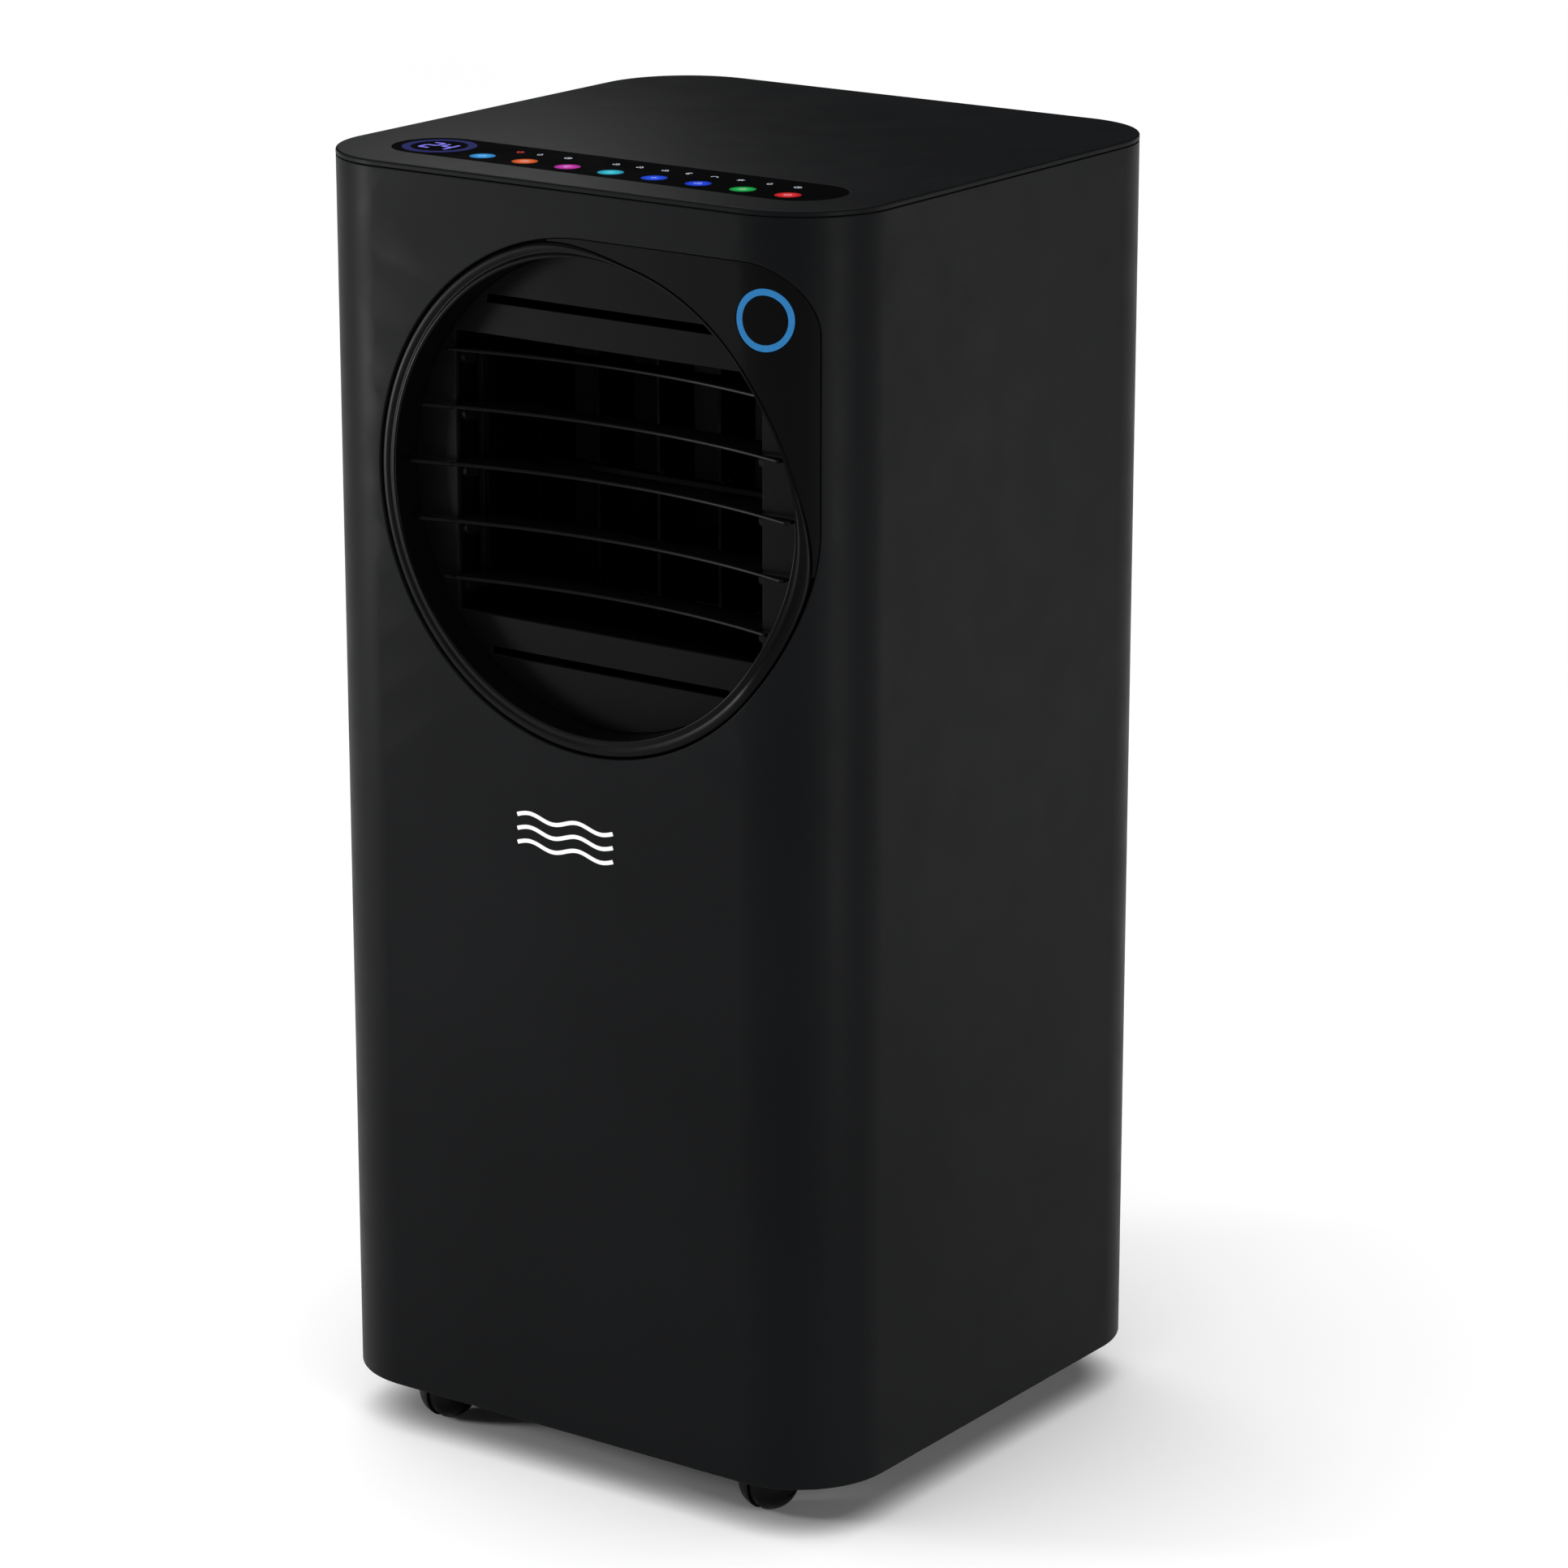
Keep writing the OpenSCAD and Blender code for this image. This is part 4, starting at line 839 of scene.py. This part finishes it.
def louver_blade(index):
    node = f"louver_blade_{index}"
    low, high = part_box(node)
    pivot = joint_place(f"tilt_{index}")
    top, rise = high[2], 4 * MM
    thick = top - pivot.z - rise
    reach = (high[0] - low[0]) / 2
    sag, edge_depth = 20 * MM, 25 * MM
    edge_r = (OUTLET_R ** 2 + sag ** 2) / (2 * sag)
    front = -HALF_D
    wing_y, notch_y, back_y = front + 13.6 * MM, front + 27 * MM, front + 40 * MM
    side_gap, rod_w, rod_gap = 0.6 * MM, 3 * MM, 1.2 * MM
    lug_r, lug_w, sunk = 3.6 * MM, 3.2 * MM, 0.3 * MM
    inner_x0, inner_x1 = OPEN_X0 + side_gap, OPEN_X1 - side_gap
    notch_x = inner_x0 + lug_w + side_gap + rod_w + rod_gap
    edge, steps = [], 72
    for k in range(steps + 1):
        x = OUTLET_X - reach + 2 * reach * k / steps
        edge.append((x, front + edge_depth - edge_r + math.sqrt(edge_r ** 2 - (x - OUTLET_X) ** 2)))
    right, left = OUTLET_X + reach, OUTLET_X - reach
    outline = edge + [(right, wing_y), (inner_x1, wing_y), (inner_x1, back_y), (notch_x, back_y),
                      (notch_x, notch_y), (inner_x0, notch_y), (inner_x0, wing_y), (left, wing_y)]
    shape = Shape()
    panel(shape, outline, [], lambda x, y, d: (x, y, top - d), thick, 0.8 * MM, 0.8 * MM)
    crank = 9 * MM
    py, pz = pivot.y, pivot.z
    under = pz + rise + sunk
    left_lug = (arc(py, pz, lug_r, 180, 270, 8) + arc(py + crank, pz, lug_r, 270, 450, 14)
                + [(notch_y, pz + lug_r), (notch_y, under), (py - lug_r, under)])
    right_lug = arc(py, pz, lug_r, 180, 360, 16) + [(py + lug_r, under), (py - lug_r, under)]
    for lug, x0 in ((left_lug, inner_x0), (right_lug, inner_x1 - lug_w)):
        panel(shape, lug, [], lambda y, z, d: (x0 + d, y, z), lug_w, 0.3 * MM, 0.3 * MM)
    pin_r, rod_pin_r, root, chamfer = 2 * MM, 1.5 * MM, 1 * MM, 0.2 * MM
    for start, end, y, r in ((OPEN_X0 - DUCT_WALL, inner_x0 + root, py, pin_r),
                             (inner_x1 - root, OPEN_X1 + DUCT_WALL, py, pin_r),
                             (inner_x0 + root, notch_x - 0.7 * MM, py + crank, rod_pin_r)):
        turned(shape, [(r - chamfer, 0), (r, chamfer), (r, end - start - chamfer),
                       (r - chamfer, end - start)], (start, y, pz), (1, 0, 0), 24)
    shape.piece(f"{node}_moulding", node, "blade_black")


# ---------------------------------------------------------------- touch panel

MARK_T = 0.06 * MM


def stroke(path, width):
    """Left and right sides of a line of even width along a path."""
    pts = [Vector(p) for p in path]
    left, right = [], []
    for i, p in enumerate(pts):
        run = (pts[min(i + 1, len(pts) - 1)] - pts[max(i - 1, 0)]).normalized()
        side = Vector((-run.y, run.x)) * width / 2
        left.append(tuple(p + side))
        right.append(tuple(p - side))
    return left, right


class Glyph:
    """Flat marks drawn with strokes and dots, a hair thick, lying on the touch panel."""

    def __init__(self, cx, cy, size, level):
        self.cx, self.cy, self.size, self.level = cx, cy, size, level
        self.shape = Shape()

    def spot(self, x, y):
        return (self.cx + x * self.size, self.cy + y * self.size)

    def solid(self, ring):
        count = len(ring)
        points = [(x, y, level) for level in (self.level, self.level - MARK_T) for x, y in ring]
        faces = [tuple(range(count)), tuple(reversed(range(count, 2 * count)))]
        faces += [((i + 1) % count, i, count + i, count + (i + 1) % count) for i in range(count)]
        self.shape.add(points, faces)

    def line(self, path, width=0.09):
        left, right = stroke([self.spot(*p) for p in path], width * self.size)
        for i in range(len(path) - 1):
            self.solid([right[i], right[i + 1], left[i + 1], left[i]])

    def dot(self, x, y, r):
        self.solid([self.spot(x + px, y + py) for px, py in circle(0, 0, r, 20)])

    def curve(self, cx, cy, r, start, end, width=0.09, steps=18):
        self.line(arc(cx, cy, r, start, end, steps), width)


def draw_power(g):
    g.curve(0, 0, 0.42, 125, 415)
    g.line([(0, 0.12), (0, 0.55)])


def draw_timer(g):
    g.curve(0, 0, 0.45, 0, 360)
    g.line([(0, 0.3), (0, 0), (0.2, -0.12)])


def draw_fan(g):
    for turn in (90, 210, 330):
        a = math.radians(turn)
        g.curve(0.24 * math.cos(a), 0.24 * math.sin(a), 0.22, turn - 90, turn + 120)
    g.dot(0, 0, 0.08)


def draw_snow(g):
    for turn in (90, 150, 210):
        a = math.radians(turn)
        g.line([(-0.5 * math.cos(a), -0.5 * math.sin(a)), (0.5 * math.cos(a), 0.5 * math.sin(a))])


def draw_plus(g):
    g.line([(-0.4, 0), (0.4, 0)])
    g.line([(0, -0.4), (0, 0.4)])


def draw_minus(g):
    g.line([(-0.4, 0), (0.4, 0)])


def draw_moon(g):
    g.curve(0, 0, 0.42, 60, 300)
    g.curve(0.25, 0, 0.36, 100, 260)


def draw_drop(g):
    g.curve(0, -0.12, 0.3, 150, 390)
    g.line([(-0.26, 0.03), (0, 0.5), (0.26, 0.03)])


def draw_swing(g):
    g.curve(0, -0.3, 0.55, 30, 150)
    g.line([(-0.3, -0.1), (-0.48, -0.02), (-0.42, -0.25)])
    g.line([(0.3, -0.1), (0.48, -0.02), (0.42, -0.25)])


KEYS = [
    ("sky", (0.05, 0.42, 1.0), draw_swing), ("orange", (1.0, 0.16, 0.03), draw_timer),
    ("magenta", (0.75, 0.05, 0.55), draw_moon), ("cyan", (0.04, 0.62, 0.80), draw_minus),
    ("blue", (0.02, 0.10, 1.0), draw_plus), ("deep_blue", (0.02, 0.08, 0.95), draw_fan),
    ("green", (0.02, 0.55, 0.10), draw_snow), ("red", (0.90, 0.03, 0.04), draw_power),
]


def key_material(name, colour):
    """Backlit key: brightest in the middle and fading towards its rim."""
    n = Nodes(f"key_{name}")
    centre = n.add("ShaderNodeVectorMath", operation="SUBTRACT")
    n.link(n.coords("Generated"), centre.inputs[0])
    centre.inputs[1].default_value = (0.5, 0.5, 0.5)
    flat = n.add("ShaderNodeVectorMath", operation="MULTIPLY")
    n.link(centre.outputs[0], flat.inputs[0])
    flat.inputs[1].default_value = (1, 1, 0)
    length = n.add("ShaderNodeVectorMath", operation="LENGTH")
    n.link(flat.outputs[0], length.inputs[0])
    hot = tuple(0.95 * c + 0.01 for c in colour)
    n.link(n.tint(n.ramp(length.outputs["Value"], 0, 1, 0.05, 0.48), hot, shaded(colour, 0.35)),
           n.shader.inputs["Emission Color"])
    n.set(Base_Color=(*shaded(colour, LAMP_BASE), 1), Emission_Strength=1.0, Roughness=0.2,
          Specular_IOR_Level=LAMP_SPECULAR)
    return n.material


# The small signs behind the keys, and how far along the row each one is, in mm
STATUS_ROW = [
    (draw_power, 12), (draw_drop, 25), (draw_timer, 43), (draw_fan, 74), (draw_fan, 89),
    (draw_fan, 105), (draw_moon, 120), (draw_swing, 136), (draw_snow, 152), (draw_drop, 170),
    (draw_timer, 187),
]
# Ends of a digit's seven segments, and the segments that each digit shows
SEGMENT = {
    "a": [(0, 1), (0.7, 1)], "b": [(0.7, 0.93), (0.7, 0.07)], "c": [(0.7, -0.07), (0.7, -0.93)],
    "d": [(0, -1), (0.7, -1)], "e": [(0, -0.07), (0, -0.93)], "f": [(0, 0.93), (0, 0.07)],
    "g": [(0, 0), (0.7, 0)],
}
DIGITS = (("abged", -0.90), ("fgbc", 0.20))
DIGIT_SQUEEZE = 0.78


def touch_panel():
    face = TOP - 0.35 * MM
    level = face + MARK_T
    shape = Shape()
    panel(shape, pill(0), [], lambda x, y, d: (x, y, face - d), 2.4 * MM, 0.5 * MM)
    shape.piece("touch_panel_glass", "touch_panel")

    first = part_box("key_lenses")[0][0]
    row_w, key_w, _ = span_of("key_lenses")
    key_y = middle_of("key_lenses")[1]
    pitch = (row_w - key_w) / (len(KEYS) - 1)
    glow = key_w / 2 + 0.8 * MM
    for index, (name, colour, draw) in enumerate(KEYS):
        x = first + key_w / 2 + index * pitch
        MATERIAL[f"key_{name}"] = key_material(name, colour)
        disc = Shape()
        turned(disc, [(glow * 0.96, 0), (glow, 0.03 * MM), (glow * 0.9, 0.06 * MM),
                      (glow * 0.4, 0.07 * MM)], (x, key_y, face), (0, 0, 1), 48)
        disc.piece(f"key_{name}", "key_lenses", f"key_{name}", replace=index == 0)
        glyph = Glyph(x, key_y, 4.6 * MM, level + 0.09 * MM)
        draw(glyph)
        glyph.shape.piece(f"key_mark_{name}", "key_lenses", "mark_soft", replace=False)

    for index, (draw, along) in enumerate(STATUS_ROW):
        glyph = Glyph(first + (along + 3) * MM, key_y + 20 * MM, 4.2 * MM, level)
        draw(glyph)
        glyph.shape.piece(f"status_mark_{index + 1}", "key_lenses",
                          "mark_white" if index else "mark_red", replace=False)

    low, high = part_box("touch_panel")
    display_x = low[0] + (high[1] - low[1]) / 2 - 0.5 * MM
    display_y = (low[1] + high[1]) / 2 + 1.5 * MM
    ring, ring_r, ring_w = Shape(), 19.6 * MM, 4.6 * MM
    panel(ring, circle(display_x, display_y, ring_r), [circle(display_x, display_y, ring_r - ring_w)],
          lambda x, y, d: (x, y, level - d), MARK_T, 0.01 * MM, 0.01 * MM)
    ring.piece("display_ring", "key_lenses", "display_indigo", replace=False)
    digits = Glyph(display_x, display_y, 9 * MM, level)
    for segments, offset in DIGITS:
        for name in segments:
            digits.line([(offset + x, y * DIGIT_SQUEEZE) for x, y in SEGMENT[name]], 0.2)
    digits.shape.piece("display_digits", "key_lenses", "display_violet", replace=False)


def airflow_mark():
    """Plain printed symbol on the front: three wavy lines for moving air."""
    shape = Shape()
    width, pitch, stroke_w, swell, steps = 62 * MM, 7.5 * MM, 2.2 * MM, 1.7 * MM, 40
    centre_x, centre_z = 4 * MM, OUTLET_Z - 180 * MM
    for row in (-1, 0, 1):
        path = [(centre_x - width / 2 + width * k / steps,
                 centre_z + row * pitch + swell * math.sin(4 * math.pi * k / steps))
                for k in range(steps + 1)]
        left, right = stroke(path, stroke_w)
        panel(shape, left + right[::-1], [], lambda x, z, d: (x, -HALF_D + d, z), 1.6 * PRINT,
              0.02 * MM, 0.01 * MM)
    shape.piece("airflow_mark", "front_cover", "print_white", replace=False)


# ---------------------------------------------------------------- casters

def caster(tag):
    wheel_node, fork_node = f"caster_wheels_{tag}", f"caster_fork_{tag}"
    axle = joint_place(f"roll_{tag}")
    stem = joint_place(f"swivel_{tag}")
    back = 1 if axle.y > stem.y else -1
    width, _, tall = span_of(wheel_node)
    r, reach = tall / 2, width / 2
    inner = 2.5 * MM
    tread_steps, groove_step = 14, 5
    wheels = Shape()
    for side in (-1, 1):
        profile = [(0.1 * MM, inner + 0.4 * MM), (5 * MM, inner + 0.4 * MM), (5.4 * MM, inner),
                   (r * 0.9, inner)]
        for k in range(tread_steps + 1):
            along = inner + 0.2 * MM + (reach - inner - 0.5 * MM) * k / tread_steps
            groove = 0.25 * MM if k == groove_step else 0
            profile.append((math.sqrt(max(r * r - along * along, 0)) * 0.999 - groove, along))
        rim = math.sqrt(r * r - reach * reach)
        profile += [(rim * 0.96, reach), (rim * 0.8, reach), (rim * 0.74, reach - 0.5 * MM),
                    (3.0 * MM, reach - 0.5 * MM), (2.6 * MM, reach - 0.15 * MM),
                    (0.1 * MM, reach - 0.05 * MM)]
        turned(wheels, profile, axle, (side, 0, 0), 72)
    turned(wheels, [(2.5 * MM, -3.6 * MM), (2.5 * MM, 3.6 * MM)], axle, (1, 0, 0), 24)
    wheels.piece(f"{wheel_node}_pair", wheel_node)

    fork = Shape()
    hood_in, hood_out, cut, steps, sides = r + 0.8 * MM, r + 2.6 * MM, 3 * MM, 16, 72
    profile = []
    for radius, order in ((hood_out, range(steps + 1)), (hood_in, range(steps, -1, -1))):
        start = math.asin(cut / radius)
        for k in order:
            t = start + (math.pi / 2 - start) * k / steps
            profile.append((max(radius * math.cos(t), TINY), radius * math.sin(t)))
    rings = [[(x, y, axle.z + up) for x, y in circle(axle.x, axle.y, radius, sides)]
             for radius, up in profile]
    loft(fork, rings, close_rings=True)
    boss = axle.z + 17 * MM
    stem_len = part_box(fork_node)[1][2] - boss
    turned(fork, [(7.6 * MM, 0), (8 * MM, 0.6 * MM), (8 * MM, 5 * MM), (7 * MM, 6 * MM),
                  (5 * MM, 6.4 * MM), (5 * MM, stem_len - 0.6 * MM), (4.4 * MM, stem_len)],
           (stem.x, stem.y, boss), (0, 0, 1))
    web_t, web_w = 4 * MM, r - 5 * MM
    plate = arc(0, 0, r - 1.5 * MM, -200, 20, 40)
    plate += [(web_w / 2, hood_in + 0.6 * MM), (-web_w / 2, hood_in + 0.6 * MM)]
    panel(fork, plate, [circle(0, 0, 2.6 * MM, 32)],
          lambda y, z, d: (axle.x - web_t / 2 + d, axle.y + back * y, axle.z + z), web_t,
          0.3 * MM, 0.3 * MM)
    fork.piece(f"{fork_node}_hood", fork_node)


# ---------------------------------------------------------------- rear details

def exhaust_collar():
    """Tube with four shallow grooves inside that grip the hose's connector."""
    cx, _, cz = middle_of("exhaust_collar")
    width, length, _ = span_of("exhaust_collar")
    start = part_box("exhaust_collar")[0][1]
    outer = width / 2
    inner, groove = outer - 3 * MM, 0.6 * MM
    profile = [(outer, 0), (outer, length - 0.8 * MM), (outer - 0.8 * MM, length),
               (inner + 1.0 * MM, length), (inner, length - 1.2 * MM)]
    for k in range(4):
        at = length - 12 * MM - k * 9 * MM
        profile += [(inner, at), (inner + groove, at - 0.8 * MM), (inner + groove, at - 1.6 * MM),
                    (inner, at - 2.4 * MM)]
    profile += [(inner, 0)]
    rings = [[(x, start + y, z) for x, z in circle(cx, cz, r, 120)] for r, y in profile]
    shape = Shape()
    loft(shape, rings, close_rings=True)
    shape.piece("exhaust_collar_tube", "exhaust_collar")


def drain_cap(which):
    node = f"{which}_drain_cap"
    low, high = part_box(node)
    cx, _, cz = middle_of(node)
    plug_r, r = 5.9 * MM, (high[0] - low[0]) / 2
    shape = Shape()
    turned(shape, [(5.3 * MM, 0), (plug_r, 0.8 * MM), (plug_r, 6 * MM), (5.5 * MM, 6.4 * MM),
                   (plug_r, 6.8 * MM), (plug_r, 13 * MM), (r - 0.5 * MM, 13.2 * MM), (r, 13.7 * MM),
                   (r, 15.2 * MM), (r - 0.7 * MM, 16 * MM), (r - 3 * MM, 16 * MM),
                   (r - 3.5 * MM, 15.2 * MM), (2 * MM, 15.0 * MM)], (cx, low[1], cz), (0, 1, 0), 64)
    rib_w, rib_len = 1.8 * MM, 12 * MM
    for width, height in ((rib_len, rib_w), (rib_w, rib_len)):
        panel(shape, rounded_box(cx, cz, width, height, 0.8 * MM, 5), [],
              lambda x, z, d: (x, high[1] - 0.05 * MM - d, z), 1.5 * MM, 0.3 * MM)
    shape.piece(f"{node}_plug", node)


def cover_screws():
    y1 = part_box("cover_screws")[1][1]
    end = -span_of("cover_screws")[1]
    arm, half, recess_d, shank_r = 2.3 * MM, 0.5 * MM, 1.4 * MM, 1.9 * MM
    cross = [(arm, -half), (arm, half), (half, half), (half, arm), (-half, arm), (-half, half),
             (-arm, half), (-arm, -half), (-half, -half), (-half, -arm), (half, -arm), (half, -half)]
    shape = Shape()
    for x, z in screw_places():
        panel(shape, circle(x, z, SCREW_R, 36), [[(x + a, z + b) for a, b in cross]],
              lambda u, v, d: (u, y1 - d, v), recess_d, [0.6 * MM, 0.1 * MM])
        turned(shape, [(3.4 * MM, 0), (3.4 * MM, -0.6 * MM), (shank_r, -0.9 * MM),
                       (shank_r, end + 2.4 * MM), (1.0 * MM, end + recess_d)],
               (x, y1 - recess_d, z), (0, 1, 0), 24)
    shape.piece("cover_screw_set", "cover_screws")


# ---------------------------------------------------------------- carried CAD nodes

FIN_PITCH, FIN_T, FIN_PROUD, FIN_ROOT = 2.2 * MM, 0.5 * MM, 0.9 * MM, 0.3 * MM
# Rows of tube in each coil; a return bend reaches out by a quarter and a ninth of a row's height
COIL_ROWS = {"evaporator_coil": 9, "condenser_coil": 4}
BEND_SHARE = 1 / 4 + 1 / 9
# Painted shade: pieces deep inside the outlet are given a darker finish than their slot's own, so that
# they read as shaded in there
PAINTED_SHADE_FINISH = {"louver_crank": "blade_black", "louver_motor": "inner_black", "upper_motor": "inner_black"}


def coil_fins(node):
    """The edges of a coil's thin fins, standing just proud of its rear face."""
    low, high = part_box(node)
    width, _, tall = span_of(node)
    reach = width / 2 - BEND_SHARE / COIL_ROWS[node] * tall
    count = int(2 * reach / FIN_PITCH)
    ends = (low[2] + 1 * MM, high[2] - 1 * MM)
    across = ((-1, -FIN_ROOT), (1, -FIN_ROOT), (1, FIN_PROUD), (-1, FIN_PROUD))
    box_faces = [(3, 2, 1, 0), (4, 5, 6, 7), (0, 1, 5, 4), (1, 2, 6, 5), (2, 3, 7, 6), (3, 0, 4, 7)]
    shape = Shape()
    for k in range(count + 1):
        x = middle_of(node)[0] - reach + FIN_T / 2 + k * (2 * reach - FIN_T) / count
        shape.add([(x + a * FIN_T / 2, high[1] + b, z) for z in ends for a, b in across], box_faces)
    shape.piece(f"{node}_fins", node, replace=False)


def finish_carried(skip):
    """Softens the edges of every CAD node still shown and gives it its finish; the pieces deep in the
    outlet get a darker one as painted shade.
    """
    for name, obj in frame["nodes"].items():
        if name in skip:
            continue
        obj.data.materials.clear()
        # Pieces deep in the outlet take a darker finish here: painted shade
        obj.data.materials.append(MATERIAL[PAINTED_SHADE_FINISH.get(name, SLOT_OF[name])])
        weld = obj.modifiers.new("weld", "WELD")
        weld.merge_threshold = 0.01 * MM
        bevel = obj.modifiers.new("soft_edges", "BEVEL")
        bevel.width = 0.25 * MM
        bevel.segments = 2
        bevel.limit_method = "ANGLE"
        bevel.angle_limit = math.radians(40)


front_cover()
leaf_plate()
receiver()
outlet_ring()
outlet_floor()
top_cover()
rear_cover()
intake_filter()
for blade in range(1, 6):
    louver_blade(blade)
touch_panel()
airflow_mark()
CASTERS = ("fl", "fr", "rl", "rr")
for tag in CASTERS:
    caster(tag)
exhaust_collar()
drain_cap("upper")
drain_cap("lower")
cover_screws()
coil_fins("evaporator_coil")
coil_fins("condenser_coil")

REBUILT = {"front_cover", "leaf_plate", "light_ring", "receiver_lens", "outlet_ring", "outlet_floor",
           "top_cover", "rear_cover", "intake_filter", "touch_panel", "key_lenses", "exhaust_collar",
           "upper_drain_cap", "lower_drain_cap", "cover_screws"}
REBUILT |= {f"louver_blade_{i}" for i in range(1, 6)}
REBUILT |= {f"caster_{kind}_{tag}" for kind in ("fork", "wheels") for tag in CASTERS}
finish_carried(REBUILT)


# ---------------------------------------------------------------- studio

def placed(name, data):
    """A new object in the scene."""
    obj = bpy.data.objects.new(name, data)
    scene.collection.objects.link(obj)
    return obj


def floor():
    size = 30.0
    mesh = bpy.data.meshes.new("floor")
    mesh.from_pydata([(-size, -size, 0), (size, -size, 0), (size, size, 0), (-size, size, 0)], [],
                     [(0, 1, 2, 3)])
    n = Nodes("floor_paper")
    n.link(n.tint(n.ramp(n.noise(0.6, 2.0), 0, 1), (0.80, 0.80, 0.80), (0.84, 0.84, 0.84)),
           n.shader.inputs["Base Color"])
    n.set(Roughness=0.9, Specular_IOR_Level=0.1)
    mesh.materials.append(n.material)
    placed("floor", mesh)


def softbox(name, place, target, width, height, power):
    data = bpy.data.lights.new(name, "AREA")
    data.shape = "RECTANGLE"
    data.size, data.size_y = width, height
    data.energy = power
    obj = placed(name, data)
    obj.location = place
    obj.rotation_euler = (Vector(target) - Vector(place)).to_track_quat("-Z", "Y").to_euler()


def sun(name, toward, strength, spread):
    data = bpy.data.lights.new(name, "SUN")
    data.energy = strength
    data.angle = math.radians(spread)
    obj = placed(name, data)
    obj.rotation_euler = Vector(toward).to_track_quat("Z", "Y").to_euler()


floor()
sun("ceiling", (-0.08, -0.08, 1.0), 3.9, 90)
softbox("upper_left", (-1.15, -0.9, 0.40), (-0.13, -0.16, 0.62), 0.3, 0.36, 12)
softbox("right_strip", (1.30, -0.42, 0.36), (0.15, -0.14, 0.38), 0.08, 0.7, 7)
softbox("side_strip", (1.02, 0.95, 0.34), (0.168, -0.1, 0.40), 0.1, 0.7, 2)
softbox("top_left", (-0.55, 0.45, 1.08), (-0.05, 0, 0.7), 0.22, 0.12, 0.5)

world = bpy.data.worlds.new("studio")
world.use_nodes = True
background = world.node_tree.nodes["Background"]
background.inputs["Color"].default_value = (0.9, 0.92, 0.95, 1)
background.inputs["Strength"].default_value = 0.02
scene.world = world
scene.view_settings.view_transform = "Standard"
